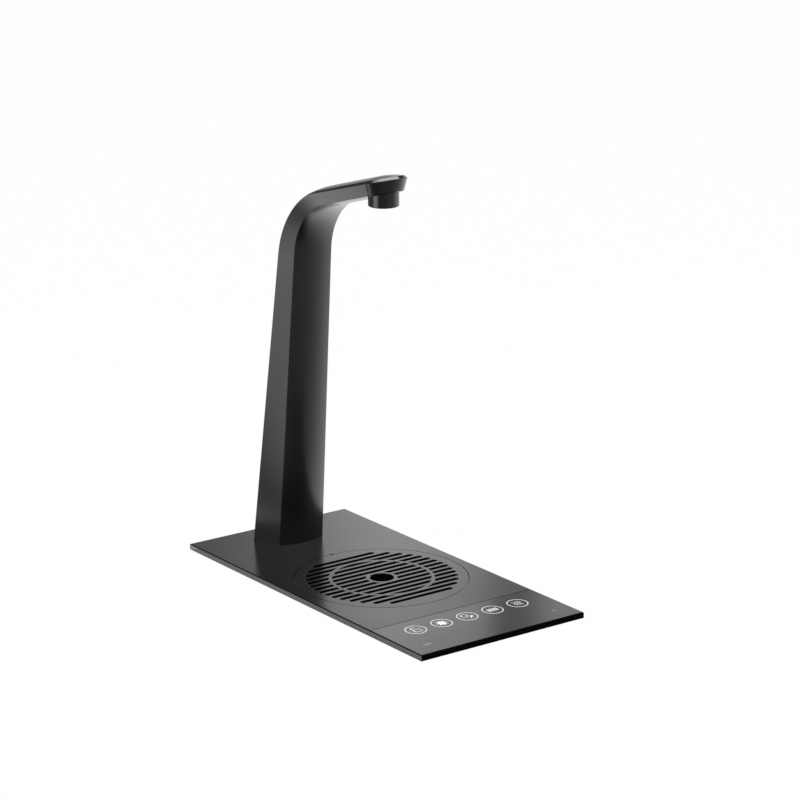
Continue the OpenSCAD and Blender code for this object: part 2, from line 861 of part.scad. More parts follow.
// The column and arm are one lofted shell, open at the foot, with a round hole for the nozzle
module column_shell() {
    count = len(stations);
    base = count * ring_n;
    end_ring = (count - 1) * ring_n;
    color("#26272a")
    difference() {
        polyhedron(
            concat(rings(stations, 0), rings(stations, column_wall)),
            concat(
                skin_faces(count, 0, ring_n),
                cap_faces(end_ring),
                flip(skin_faces(count, base, ring_n)),
                flip(cap_faces(base + end_ring)),
                rim_faces(0, base, ring_n)));
        translate([0, nozzle_y, mouth_z])
            cylinder(r = nozzle_r + seat_gap, h = outer_tip[1] - arm_depth / 2 + over - mouth_z);
    }
}

module column_foot() {
    foot_share = foot_block_h / (outer_bend(0)[1] - plate_t);
    color("#8f9296")
    difference() {
        loft([column_station(0), column_station(foot_share)], column_wall + fit_gap);
        translate([0, 0, plate_t - over])
            cylinder(r = shank_r + thread_gap, h = foot_block_h + 2 * over);
        at_foot_screws()
            cylinder(r = m4_r + thread_gap, h = foot_screw_l + screw_tip_gap);
    }
}

module column_gasket() {
    color("#3a3a3a")
    translate([0, 0, plate_t - column_gasket_t])
        linear_extrude(column_gasket_t)
            difference() {
                foot_outline(column_gasket_inset + thread_gap);
                circle(r = shank_r + thread_gap);
                at_foot_screws() circle(r = m4_hole_r);
            }
}

module foot_screws() {
    color("silver")
    at_foot_screws()
        difference() {
            union() {
                cylinder(r1 = m4_head_r, r2 = m4_r, h = m4_head_r - m4_r);
                cylinder(r = m4_r, h = foot_screw_l);
            }
            translate([0, 0, -over])
                cylinder(r = screw_drive_r, h = screw_drive_d + over, $fn = 6);
        }
}

module shank() {
    color("#b9a36a")
    difference() {
        union() {
            translate([0, 0, -shank_l])
                cylinder(r = shank_r, h = shank_l + plate_t + foot_block_h);
            translate([0, 0, -shoulder_l])
                cylinder(r = shoulder_r, h = shoulder_l);
        }
        translate([0, 0, -shank_l - over])
            cylinder(r = shank_bore_r, h = shank_l + plate_t + foot_block_h + 2 * over);
    }
}

washer_top_z = -worktop_t;
module shank_washer() {
    color("#303033")
    translate([0, 0, washer_top_z - washer_t])
        difference() {
            cylinder(r = washer_r, h = washer_t);
            translate([0, 0, -over])
                cylinder(r = shank_r + seat_gap, h = washer_t + 2 * over);
        }
}

module clamp_plate() {
    corner_x = clamp_w / 2 - clamp_corner_r;
    corner_y = clamp_l / 2 - clamp_corner_r;
    color("silver")
    translate([0, 0, washer_top_z - washer_t - clamp_t])
        difference() {
            union() {
                for (sx = [-1, 1])
                    for (sy = [-1, 1])
                        translate([sx * corner_x, sy * corner_y, 0])
                            cylinder(r = clamp_corner_r, h = clamp_t);
                translate([-corner_x, -clamp_l / 2, 0])
                    cube([2 * corner_x, clamp_l, clamp_t]);
                translate([-clamp_w / 2, -corner_y, 0])
                    cube([clamp_w, 2 * corner_y, clamp_t]);
            }
            translate([0, 0, -over])
                cylinder(r = shank_r + clamp_hole_gap, h = clamp_t + 2 * over);
        }
}

module backnut() {
    color("#b9a36a")
    translate([0, 0, washer_top_z - washer_t - clamp_t - backnut_t])
        difference() {
            hexagon(backnut_af, backnut_t);
            translate([0, 0, -over])
                cylinder(r = shank_r + backnut_gap, h = backnut_t + 2 * over);
        }
}

// A tube's middle line: tail, bend in the foot, column, bend, arm. A tube station is [y, z, angle].
tube_foot = [0, plate_t];
tube_tip = (outer_tip + inner_tip) / 2 + block_rise * [sin(arm_rise), cos(arm_rise)];
tube_aim = (outer_bend(0) + inner_bend(0)) / 2 - tube_foot;
tube_lean = atan2(-tube_aim[0], tube_aim[1]);
foot_tangent = foot_tube_bend_r * tan(tube_lean / 2);
tube_bend_z = plate_t - foot_tangent;
tube_top = bend_start(tube_foot, tube_lean, tube_tip, tube_bend_r);
tube_seat = tube_tip - arm_dir * (block_back_l - socket_l + fit_gap);
function tube_station(p, angle) = [p[0], p[1], angle];
tube_stations = concat(
    [for (i = [0:foot_bend_steps]) let (angle = tube_lean * i / foot_bend_steps)
        tube_station([-foot_tube_bend_r, tube_bend_z] + foot_tube_bend_r * [cos(angle), sin(angle)], angle)],
    [for (i = [0:tube_bend_steps]) let (k = i / tube_bend_steps)
        let (angle = tube_lean + turn(tube_lean) * k)
        tube_station(bend_point(tube_foot, tube_lean, tube_tip, tube_bend_r, k), angle)],
    [tube_station(tube_seat, tube_lean + turn(tube_lean))]);
function tube_rings(x, r) = [for (s = tube_stations) for (i = [0:tube_sides - 1])
    let (a = -360 * i / tube_sides)
    [x + r * cos(a), s[0] + r * sin(a) * cos(s[2]), s[1] + r * sin(a) * sin(s[2])]];

module water_tube(x) {
    count = len(tube_stations);
    base = count * tube_sides;
    end_ring = (count - 1) * tube_sides;
    translate([x, 0, -tube_tail])
        difference() {
            cylinder(r = tube_r, h = tube_tail + tube_bend_z);
            translate([0, 0, -over])
                cylinder(r = tube_r - tube_wall, h = tube_tail + tube_bend_z + 2 * over);
        }
    polyhedron(
        concat(tube_rings(x, tube_r), tube_rings(x, tube_r - tube_wall)),
        concat(
            skin_faces(count, 0, tube_sides),
            flip(skin_faces(count, base, tube_sides)),
            rim_faces(0, base, tube_sides),
            flip(rim_faces(end_ring, base + end_ring, tube_sides))));
}

module hot_tube() {
    color("#c9c4b8") water_tube(-tube_pitch);
}

module chilled_tube() {
    color("#c9c4b8") water_tube(0);
}

module sparkling_tube() {
    color("#c9c4b8") water_tube(tube_pitch);
}

module tube_spacer() {
    spacer_top_share = spacer_share + spacer_t / (outer_bend(0)[1] - plate_t);
    color("#3a3b3e")
    difference() {
        loft([column_station(spacer_share), column_station(spacer_top_share)], column_wall + fit_gap);
        for (i = [-1:1])
            translate([i * tube_pitch, tube_foot[0], tube_foot[1]])
                rotate([tube_lean, 0, 0])
                    cylinder(r = tube_r + thread_gap, h = norm(tube_top - tube_foot));
    }
}

module outlet_block() {
    color("#8f9296")
    difference() {
        union() {
            on_arm()
                translate([0, 0, block_rise - block_t / 2]) {
                    cylinder(r = block_half_w, h = block_t);
                    translate([-block_half_w, 0, 0])
                        cube([2 * block_half_w, block_back_l, block_t]);
                }
            translate([0, nozzle_y, spout_z])
                cylinder(r = nozzle_r - nozzle_wall - thread_gap, h = inner_tip[1] + arm_depth / 2 - spout_z);
        }
        // Pocket that the nozzle's top screws into
        translate([0, nozzle_y, mouth_z])
            difference() {
                cylinder(r = nozzle_r + seat_gap, h = nozzle_top_z + seat_gap - mouth_z);
                translate([0, 0, -over])
                    cylinder(r = nozzle_r - nozzle_wall - thread_gap, h = arm_top_h);
            }
        // Water way down to the nozzle
        translate([0, nozzle_y, spout_z - over])
            cylinder(r = spout_bore_r, h = inner_tip[1] + arm_depth / 2 - spout_z + over);
        on_arm() {
            // Seats of the tubes
            for (i = [-1:1])
                translate([i * tube_pitch, block_back_l - socket_l, block_rise])
                    rotate([-90, 0, 0])
                        cylinder(r = tube_r + thread_gap, h = socket_l + over);
            // Passages forward and the gallery that joins them
            for (i = [-1:1])
                translate([i * tube_pitch, 0, passage_rise])
                    rotate([-90, 0, 0])
                        cylinder(r = passage_r, h = block_back_l - socket_l + over, $fn = 32);
            translate([-tube_pitch, 0, passage_rise])
                rotate([0, 90, 0])
                    cylinder(r = passage_r, h = 2 * tube_pitch, $fn = 32);
        }
    }
}

module nozzle() {
    color("#202124")
    translate([0, nozzle_y, 0])
        rotate_extrude()
            polygon([
                [mouth_r, mouth_z],
                [nozzle_r - nozzle_edge, mouth_z],
                [nozzle_r, mouth_z + nozzle_edge],
                [nozzle_r, nozzle_top_z],
                [nozzle_r - nozzle_wall, nozzle_top_z],
                [nozzle_r - nozzle_wall, straightener_z],
                [mouth_r, straightener_z]]);
}

module flow_straightener() {
    color("#b5b8bb")
    translate([0, nozzle_y, straightener_z])
        difference() {
            cylinder(r = nozzle_r - nozzle_wall - fit_gap, h = straightener_t);
            translate([0, 0, -over])
                cylinder(r = straightener_hole_r, h = straightener_t + 2 * over, $fn = 16);
            for (j = [1:straightener_rings])
                for (i = [0:j * straightener_holes_per_ring - 1])
                    rotate([0, 0, i * 360 / (j * straightener_holes_per_ring)])
                        translate([j * straightener_ring_pitch, 0, -over])
                            cylinder(r = straightener_hole_r, h = straightener_t + 2 * over, $fn = 16);
        }
}

module nozzle_seal() {
    color("#3a3a3a")
    translate([0, nozzle_y, nozzle_seal_z])
        difference() {
            cylinder(r = nozzle_r - nozzle_wall - fit_gap, h = nozzle_seal_t);
            translate([0, 0, -over])
                cylinder(r = nozzle_r - nozzle_wall - fit_gap - nozzle_seal_w, h = nozzle_seal_t + 2 * over);
        }
}

base_plate();
worktop_gasket();
touch_panel();
icon_diffuser();
touch_pcb();
control_box();
control_box_screws();
cable_gland();
drip_grille();
grille_pads();
drip_bowl();
bowl_seal();
bowl_screws();
drain_strainer();
drain_spigot();
drain_washer();
drain_nut();
column_shell();
column_foot();
column_gasket();
foot_screws();
shank();
shank_washer();
clamp_plate();
backnut();
hot_tube();
chilled_tube();
sparkling_tube();
tube_spacer();
outlet_block();
nozzle();
flow_straightener();
nozzle_seal();
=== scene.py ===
# %% [markdown]
# A worktop tap for hot, chilled and sparkling water: a slim plate with a glass touch strip and
# a slotted drip grille, and a swept column that carries the nozzle over the grille. The solids
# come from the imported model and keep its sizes. This script gives them their finish, and makes
# again, finer, what loose triangles show badly: the column, the round pieces, the broken edges
# of the grille and the glass, the threads and the lit keys.

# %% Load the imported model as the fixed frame
import json
import math

import bmesh
import bpy
import numpy as np
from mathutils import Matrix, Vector


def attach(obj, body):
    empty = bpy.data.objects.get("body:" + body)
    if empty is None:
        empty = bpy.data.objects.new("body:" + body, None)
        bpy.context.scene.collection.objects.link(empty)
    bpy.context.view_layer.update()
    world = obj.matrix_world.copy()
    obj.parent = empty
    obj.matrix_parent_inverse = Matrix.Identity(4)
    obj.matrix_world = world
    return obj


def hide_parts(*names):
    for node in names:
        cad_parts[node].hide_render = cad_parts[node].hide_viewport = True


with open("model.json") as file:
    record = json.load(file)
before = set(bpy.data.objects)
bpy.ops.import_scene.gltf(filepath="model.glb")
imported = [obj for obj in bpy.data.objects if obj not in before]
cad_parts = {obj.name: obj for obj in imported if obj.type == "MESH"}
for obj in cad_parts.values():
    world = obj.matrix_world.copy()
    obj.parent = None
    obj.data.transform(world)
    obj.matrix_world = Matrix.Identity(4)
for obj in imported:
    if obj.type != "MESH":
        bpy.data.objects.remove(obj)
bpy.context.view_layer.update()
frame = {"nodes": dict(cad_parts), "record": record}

MM = 0.001

# %% [markdown]
# The photograph was taken from left of the front, sixteen degrees above the plate, and from
# far off, so that the lines hardly converge. A camera could be set by eye. This one's turn,
# rise, distance and lens were found by laying the plate's corners, the nozzle and the grille's
# middle over the photograph, so that every piece can be compared with it pixel by pixel.

# %% Put the camera where the photograph was taken from
VIEW_TURN = math.radians(-36.4821)
VIEW_RISE = math.radians(16.0663)
VIEW_DISTANCE = 2.31498
VIEW_TARGET = Vector((-0.00811, -0.16345, 0.165))
FOCAL_PIXELS = 2936.5
FRAME_PIXELS = 800
SENSOR_MM = 36.0

scene = bpy.context.scene
camera = bpy.data.objects.new("camera", bpy.data.cameras.new("camera"))
scene.collection.objects.link(camera)
camera.data.sensor_width = SENSOR_MM
camera.data.lens = FOCAL_PIXELS / FRAME_PIXELS * SENSOR_MM
toward_camera = Vector((
    math.sin(VIEW_TURN) * math.cos(VIEW_RISE),
    -math.cos(VIEW_TURN) * math.cos(VIEW_RISE),
    math.sin(VIEW_RISE)))
camera.location = VIEW_TARGET + toward_camera * VIEW_DISTANCE
camera.rotation_euler = toward_camera.to_track_quat("Z", "Y").to_euler()
scene.camera = camera
scene.view_settings.view_transform = "Standard"
print("camera at", [round(v, 3) for v in camera.location], "lens", round(camera.data.lens, 2))

# %% [markdown]
# Every finish is a small sheet of nodes. They could be wired by hand in the shader editor, or
# one call at a time in code, and both are hard to read back. So a wire from a node can be
# added, taken away and multiplied like a number, and one method makes any node from its type,
# its settings and what its sockets get. Colours are blended and never summed, because a Math
# node turns a colour grey.

# %% A wire that can be used in sums, and the sheet that makes nodes
class Wire:
    """The output of a node. A sum, difference or product with it makes a Math node."""

    def __init__(self, sheet, socket):
        self.sheet = sheet
        self.socket = socket

    def beside(self, out):
        """Another output of the same node."""
        return Wire(self.sheet, self.socket.node.outputs[out])

    def __add__(self, other):
        return self.sheet.calc("ADD", self, other)

    __radd__ = __add__

    def __sub__(self, other):
        return self.sheet.calc("SUBTRACT", self, other)

    def __rsub__(self, other):
        return self.sheet.calc("SUBTRACT", other, self)

    def __mul__(self, other):
        return self.sheet.calc("MULTIPLY", self, other)

    __rmul__ = __mul__


class Sheet:
    """The nodes of a material, or of the world, with its own shader ready."""

    def __init__(self, owner, shader="Principled BSDF"):
        owner.use_nodes = True
        self.owner = owner
        self.tree = owner.node_tree
        self.shader = self.tree.nodes[shader]
        self.places = self.node("ShaderNodeTexCoord", out="Object")

    def give(self, node, sockets):
        """Sets sockets of a node, each by its name or number, to a value or to a wire."""
        for key, value in sockets.items():
            if isinstance(value, Wire):
                self.tree.links.new(value.socket, node.inputs[key])
            else:
                node.inputs[key].default_value = value

    def node(self, node_type, settings=None, sockets=None, out=0):
        """Makes a node, sets its settings, then its sockets, and returns the wire from one
        output. The setting called stops fills a colour ramp with (place, level) pairs."""
        made = self.tree.nodes.new(node_type)
        for key, value in (settings or {}).items():
            if key == "stops":
                stops = made.color_ramp.elements
                while len(stops) < len(value):
                    stops.new(1.0)
                for stop, (at, level) in zip(stops, value):
                    stop.position, stop.color = at, grey(level)
            else:
                setattr(made, key, value)
        self.give(made, sockets or {})
        return Wire(self, made.outputs[out])

    def calc(self, operation, *values):
        """A Math node of that operation on its one, two or three values."""
        return self.node("ShaderNodeMath", {"operation": operation}, dict(enumerate(values)))

    def eased(self, value, start, end, first=0.0, last=1.0):
        """Goes smoothly from first to last while a value goes from start to end."""
        return self.node("ShaderNodeMapRange", {"interpolation_type": "SMOOTHSTEP"}, {
            "Value": value, "From Min": start, "From Max": end, "To Min": first, "To Max": last})

    def show(self, wire):
        """Puts another shader than the sheet's own on the surface."""
        self.tree.links.new(wire.socket, self.tree.nodes["Material Output"].inputs["Surface"])


def grey(level):
    """A grey: the same level in red, green and blue."""
    return (level, level, level, 1)


print("wires and sheets ready")

# %% [markdown]
# Real finishes are uneven at two scales: a fine grain, and a slow drift over the whole piece.
# A picture could show both, but it needs a mapping made for each piece. Noise that reads the
# object's own coordinates fits every piece at once and stays in place on it, so the finishes
# below are made of a few such patterns, each with a short name.

# %% The patterns that the finishes are made of
class Finish(Sheet):
    """The sheet of a new material, with the patterns that the tap's finishes use."""

    def __init__(self, name):
        super().__init__(bpy.data.materials.new(name))

    def stretched(self, x, y, z):
        """Object coordinates, each multiplied by its own factor."""
        return self.node("ShaderNodeMapping", {}, {"Vector": self.places, "Scale": (x, y, z)})

    def noise(self, scale, detail=2.0, places=None):
        """Soft noise about one half, with as many blobs in a metre as its scale says."""
        return self.node("ShaderNodeTexNoise", {}, {
            "Vector": places or self.places, "Scale": scale, "Detail": detail})

    def blend(self, share, first, second):
        """A colour between two colours: the first at share 0, the second at share 1."""
        return self.node(
            "ShaderNodeMix", {"data_type": "RGBA"}, {0: share, 6: first, 7: second}, out=2)

    def bump(self, height, depth, strength):
        """The surface's direction, tilted as if height from 0 to 1 were a depth in metres."""
        return self.node(
            "ShaderNodeBump", {}, {"Height": height, "Distance": depth, "Strength": strength})


print("patterns ready")

# %% [markdown]
# The column, plate, grille and nozzle carry the same satin black powder coat. Such a coat is a skin
# of melted grains: it has a grain well under a millimetre, and its gloss is slightly uneven. A plain
# black would look like paper, so the grain is a fine, shallow bump, and a large cloud moves tone and
# roughness. The casting is a shade duller than the flat plate, and its black is set a little lighter:
# painted light that lifts the column's dark faces.

# %% Satin black powder coat
COAT_TONE, COAT_DRIFT, COAT_CLOUD, COAT_GRAIN, COAT_DEPTH = 0.15, 0.03, 22.0, 1500.0, 0.00002
BLACK_IOR = 1.6


def powder_coat(name, level, rough):
    """Tone within COAT_TONE of the level and roughness within COAT_DRIFT of rough, both
    following one cloud, over a grain COAT_DEPTH metres deep."""
    sheet = Finish(name)
    grain = sheet.noise(COAT_GRAIN)
    cloud = sheet.noise(COAT_CLOUD, 3.0)
    darker, lighter = grey(level * (1 - COAT_TONE)), grey(level * (1 + COAT_TONE))
    sheet.give(sheet.shader, {
        "Base Color": sheet.blend(cloud, darker, lighter),
        "Roughness": rough - COAT_DRIFT + cloud * (2 * COAT_DRIFT),
        "Normal": sheet.bump(grain, COAT_DEPTH, 0.5),
        "IOR": BLACK_IOR})
    return sheet.owner


satin_black = powder_coat("satin_black_coat", 0.004, 0.2)
# The casting's black is set lighter than the plate's: painted light on the column's dark faces.
cast_black_lightened = powder_coat("satin_black_casting", 0.0055, 0.25)
print("made", satin_black.name, cast_black_lightened.name)

# %% [markdown]
# The touch strip is glass printed black on its back, so it reads as one deep gloss. It could
# be clear glass over a black sheet, which takes longer to render and shows the same. Fingers
# and cloths leave it unevenly clean, and that shows only as a change of roughness.

# %% Black glass of the touch strip
WIPE_SCALE, WIPE_STRETCH = 14.0, (1.0, 2.2, 1.0)
GLASS_DARK, GLASS_LIGHT, GLASS_ROUGH, WIPE_ROUGH = 0.003, 0.005, 0.11, 0.05


def black_glass(name):
    """Near black, a little rougher where a long, soft cloud of wiping is bright."""
    sheet = Finish(name)
    wiped = sheet.noise(WIPE_SCALE, 4.0, sheet.stretched(*WIPE_STRETCH))
    sheet.give(sheet.shader, {
        "Base Color": sheet.blend(wiped, grey(GLASS_DARK), grey(GLASS_LIGHT)),
        "Roughness": GLASS_ROUGH + wiped * WIPE_ROUGH,
        "IOR": BLACK_IOR})
    return sheet.owner


panel_glass = black_glass("black_panel_glass")
print("made", panel_glass.name)

# %% [markdown]
# The bowl, spigot, nut, gland and control box are mouldings with a spark-eroded texture. The
# seals are rubber, greyer and duller, the tubes and the straightener are smoother plastics,
# and the foot is rough cast metal. Each could have a sheet of its own. But all show the same
# two things, a grain and a flow mark, so one function makes them from their numbers.

# %% Mouldings, rubber and the cast foot
FLOW_SCALE, FLOW_TONE, MOULD_DRIFT = 18.0, 0.82, 0.04


def moulded(name, colour, rough, grain_scale, depth, metallic=0.0):
    """Colour that sinks to FLOW_TONE along flow marks, and a grain that moves the roughness
    by MOULD_DRIFT either way and stands depth metres proud."""
    sheet = Finish(name)
    grain = sheet.noise(grain_scale, 3.0)
    flow = sheet.noise(FLOW_SCALE)
    darker = tuple(c * FLOW_TONE for c in colour[:3]) + (1,)
    sheet.give(sheet.shader, {
        "Base Color": sheet.blend(flow, darker, colour),
        "Metallic": metallic,
        "Roughness": rough - MOULD_DRIFT + grain * (2 * MOULD_DRIFT),
        "Normal": sheet.bump(grain, depth, 0.6)})
    return sheet.owner


black_moulding = moulded("black_textured_moulding", grey(0.006), 0.55, 900.0, 0.00005)
seal_rubber = moulded("seal_rubber", grey(0.03), 0.8, 420.0, 0.00004)
tube_plastic = moulded("natural_tube_plastic", (0.62, 0.60, 0.55, 1), 0.35, 300.0, 0.00001)
mesh_plastic = moulded("straightener_plastic", grey(0.35), 0.5, 700.0, 0.00002)
diffuser_film = moulded("diffuser_film", grey(0.8), 0.7, 1200.0, 0.00002)
cast_metal = moulded("cast_foot_metal", grey(0.45), 0.45, 260.0, 0.0001, metallic=1.0)
print("made six moulded and cast finishes")

# %% [markdown]
# Turned brass keeps the tool's fine rings, and rolled stainless keeps its grain in one
# direction. Anisotropy on the shader could show that, but only as a stretched highlight. A
# noise squeezed hard along one axis draws the lines themselves, in roughness and in bump.

# %% Turned brass and brushed stainless
STAIN_SCALE, STAIN_TONE, LINE_DRIFT, LINE_DEPTH = 40.0, 0.85, 0.08, 0.00001


def drawn_metal(name, colour, rough, squeeze):
    """Metal with noise squeezed into lines, that many to a metre along each axis, moving the
    roughness by LINE_DRIFT either way, under faint stains."""
    sheet = Finish(name)
    lines = sheet.noise(1.0, 2.0, sheet.stretched(*squeeze))
    stain = sheet.noise(STAIN_SCALE, 3.0)
    duller = tuple(c * STAIN_TONE for c in colour[:3]) + (1,)
    sheet.give(sheet.shader, {
        "Base Color": sheet.blend(stain, duller, colour),
        "Metallic": 1.0,
        "Roughness": rough - LINE_DRIFT + lines * (2 * LINE_DRIFT),
        "Normal": sheet.bump(lines, LINE_DEPTH, 0.4)})
    return sheet.owner


turned_brass = drawn_metal("turned_brass", (0.60, 0.45, 0.22, 1), 0.3, (60, 60, 4000))
rolled_steel = drawn_metal("rolled_stainless", (0.55, 0.55, 0.54, 1), 0.32, (60, 3500, 60))
print("made", turned_brass.name, rolled_steel.name)

# %% [markdown]
# The touch board lies under the glass and shows only where the part is opened. Its tracks
# could be modelled, but they are a few hundredths of a millimetre thick. A brick pattern
# draws them instead: solder mask over a grid of copper, with the tracks a little proud.

# %% Touch board
TRACKS_A_METRE, TRACK_SHARE, TRACK_DEPTH = 90.0, 0.03, 0.00004
MASK_GREEN, TRACK_GREEN = (0.012, 0.09, 0.035, 1), (0.03, 0.20, 0.08, 1)


def board_finish(name):
    """Green solder mask, paler and a little duller where a brick pattern has its joints."""
    sheet = Finish(name)
    tracks = sheet.node("ShaderNodeTexBrick", {}, {
        "Vector": sheet.places, "Scale": TRACKS_A_METRE, "Mortar Size": TRACK_SHARE}, out="Fac")
    sheet.give(sheet.shader, {
        "Base Color": sheet.blend(tracks, MASK_GREEN, TRACK_GREEN),
        "Roughness": 0.3 + tracks * 0.1,
        "Normal": sheet.bump(tracks, TRACK_DEPTH, 0.5)})
    return sheet.owner


board_green = board_finish("touch_board_green")
print("made", board_green.name)

# %% [markdown]
# On the real strip small lamps shine through clear signs in the black print. Light sent up
# through a mask would be noisy at this size. So the signs are paper-thin shapes just over the
# glass, and their finish glows at the level that the photograph shows.

# %% Lit and unlit key marks
CELL_SCALE, CELL_TONE, CELL_GLOW = 900.0, 0.9, 0.92


def mark_finish(name, level, glow):
    """A white that glows, with the faint unevenness of the cells of a diffuser."""
    sheet = Finish(name)
    cells = sheet.noise(CELL_SCALE, 1.0)
    sheet.give(sheet.shader, {
        "Base Color": sheet.blend(cells, grey(level * CELL_TONE), grey(level)),
        "Roughness": 0.5,
        "Emission Color": sheet.blend(cells, grey(level * CELL_GLOW), grey(level)),
        "Emission Strength": glow})
    return sheet.owner


lit_mark = mark_finish("lit_key_mark", 0.62, 0.8)
# The corner marks aren't lit: their faint glow is painted light.
faint_mark_painted_glow = mark_finish("unlit_status_mark", 0.35, 0.4)
print("made", lit_mark.name, faint_mark_painted_glow.name)

# %% [markdown]
# A new surface is a grid of points, worked out as one array. It could be modelled by hand and
# kept in a file, but then its sizes couldn't be read from the code or changed there. These
# helpers turn a grid into a mesh, merge what meets, mark the sharp edges and hang the piece
# on the body that it moves with.

# %% From arrays to pieces
MERGE_DISTANCE = 1e-6  # metres


def grid_faces(rows, cols, rings=False, rows_meet=False):
    """Quads between neighbouring rows and columns of a grid. With rings each row is joined
    round, from its last column to its first; with rows_meet the last row joins the first."""
    row = np.arange(rows if rows_meet else rows - 1)[:, None]
    col = np.arange(cols if rings else cols - 1)[None, :]
    here, ahead = row * cols, (row + 1) % rows * cols
    beside = (col + 1) % cols
    return np.stack([here + col, here + beside, ahead + beside, ahead + col], -1).reshape(-1, 4)


def new_mesh(name, points, faces, material):
    """A mesh from an array of points in metres and a list of the corners of each face."""
    mesh = bpy.data.meshes.new(name)
    mesh.from_pydata(np.reshape(points, (-1, 3)).tolist(), [], faces)
    mesh.materials.append(material)
    return mesh


def finish_mesh(mesh, closed, sharp_degrees):
    """Merges doubles, turns a closed skin outwards and marks edges sharper than an angle."""
    work = bmesh.new()
    work.from_mesh(mesh)
    bmesh.ops.remove_doubles(work, verts=work.verts, dist=MERGE_DISTANCE)
    if closed:
        bmesh.ops.recalc_face_normals(work, faces=work.faces)
    work.to_mesh(mesh)
    work.free()
    mesh.shade_smooth()
    mesh.set_sharp_from_angle(angle=math.radians(sharp_degrees))


def hang(name, mesh, body):
    """A piece of that mesh, at the origin, that rides on a body."""
    piece = bpy.data.objects.new(name, mesh)
    scene.collection.objects.link(piece)
    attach(piece, body)
    return piece


def add_piece(name, points, faces, body, material, slot, sharp_degrees=30.0):
    """A closed piece from an array of points in metres and an array of faces."""
    mesh = new_mesh(name, points, faces.tolist(), material)
    finish_mesh(mesh, True, sharp_degrees)
    return hang(name, mesh, body)


print("mesh helpers ready")

# %% [markdown]
# The column and arm are one casting that sweeps up, over and down to the nozzle. Seen from the
# side it is two lines, the back's and the front's, each a straight stretch, an arc and another
# straight stretch. A curve with a bevel could sweep it, but with one section all along. The
# real one changes on the way, so it is lofted: its stations lie on these two lines.

# %% The column's side view, with the sizes of the part's source in millimetres
PLATE_T = 5.0
BACK_FOOT_Y, FRONT_FOOT_Y = 14.6, -11.8
BACK_LEAN, FRONT_LEAN, ARM_RISE = 7.04, 4.72, 15.94
OUTER_BEND_R, INNER_BEND_R = 71.1, 55.0
ARM_TOP_H, ARM_DEPTH, REACH = 331.3, 12.3, 131.0
COLUMN_STATIONS, BEND_STATIONS, ARM_STATIONS, NOSE_STATIONS = 24, 60, 20, 36

rise = math.radians(ARM_RISE)
arm_dir = np.array([-math.cos(rise), math.sin(rise)])
column_share = np.linspace(0, 1, COLUMN_STATIONS, endpoint=False)
bend_share = np.linspace(0, 1, BEND_STATIONS)
arm_share = np.linspace(0, 1, ARM_STATIONS + 1)[1:]
nose_angle = np.radians(np.linspace(0, 90, NOSE_STATIONS + 1)[1:])


def cross(a, b):
    """The signed area between two flat vectors: x of a times y of b, less y of a times x of b."""
    return a[0] * b[1] - a[1] * b[0]


def side_profile(foot_y, lean_degrees, tip, radius):
    """Points [y, z]: a line up from the foot, leaning forward, an arc that touches it,
    and a line along the arm to its tip. The two lines meet at a corner, and the arc starts
    radius times the tangent of half the turn before it."""
    lean = math.radians(lean_degrees)
    up = np.array([-math.sin(lean), math.cos(lean)])
    foot = np.array([foot_y, PLATE_T])
    turn = math.pi / 2 - lean - rise
    corner = foot + up * cross(tip - foot, arm_dir) / cross(up, arm_dir)
    start = corner - up * radius * math.tan(turn / 2)
    centre = start - radius * np.array([math.cos(lean), math.sin(lean)])
    angle = lean + turn * bend_share[:, None]
    arc = centre + radius * np.hstack([np.cos(angle), np.sin(angle)])
    line = foot + (start - foot) * column_share[:, None]
    arm = arc[-1] + (tip - arc[-1]) * arm_share[:, None]
    return np.vstack([line, arc, arm])


outer_tip = np.array([-REACH, PLATE_T + ARM_TOP_H])
inner_tip = outer_tip - np.array([0.0, ARM_DEPTH])
outer_line = side_profile(BACK_FOOT_Y, BACK_LEAN, outer_tip, OUTER_BEND_R)
inner_line = side_profile(FRONT_FOOT_Y, FRONT_LEAN, inner_tip, INNER_BEND_R)
print("column profile", len(outer_line), "stations and", len(nose_angle), "round the nose")

# %% [markdown]
# The section has a crowned back, a bevel along each edge, flat sides that draw in towards the
# front and a softly bulged front. Its widths, bulge and bevel change evenly from knot to knot:
# foot, start of the bend, end of the bend, nozzle. Beyond the nozzle the last station only
# turns, and so rounds the nose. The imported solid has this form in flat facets. The same
# formula on a much finer grid keeps the long highlights clean.

# %% Loft the column as one array
BACK_HALF = (31.4, 24.3, 21.8, 18.9)
FRONT_HALF = (22.1, 18.5, 17.6, 16.2)
BULGE = (5.5, 3.4, 1.9, 1.9)
BEVEL_D = (1.8, 1.8, 1.8, 2.4)
CROWN, BEVEL_W, WALL = 2.75, 2.2, 2.5
POINTS_ACROSS, COLUMN_SHARP = 41, 14.0


def along(knots):
    """A value at each station, evenly between its four knots, then kept round the nose."""
    parts = [
        knots[0] + (knots[1] - knots[0]) * column_share,
        knots[1] + (knots[2] - knots[1]) * bend_share,
        knots[2] + (knots[3] - knots[2]) * arm_share,
        np.full(len(nose_angle), knots[3])]
    return np.concatenate(parts)[:, None]


def held(line):
    """A side line with its last point repeated at each station round the nose."""
    return np.vstack([line, np.repeat(line[-1:], len(nose_angle), axis=0)])


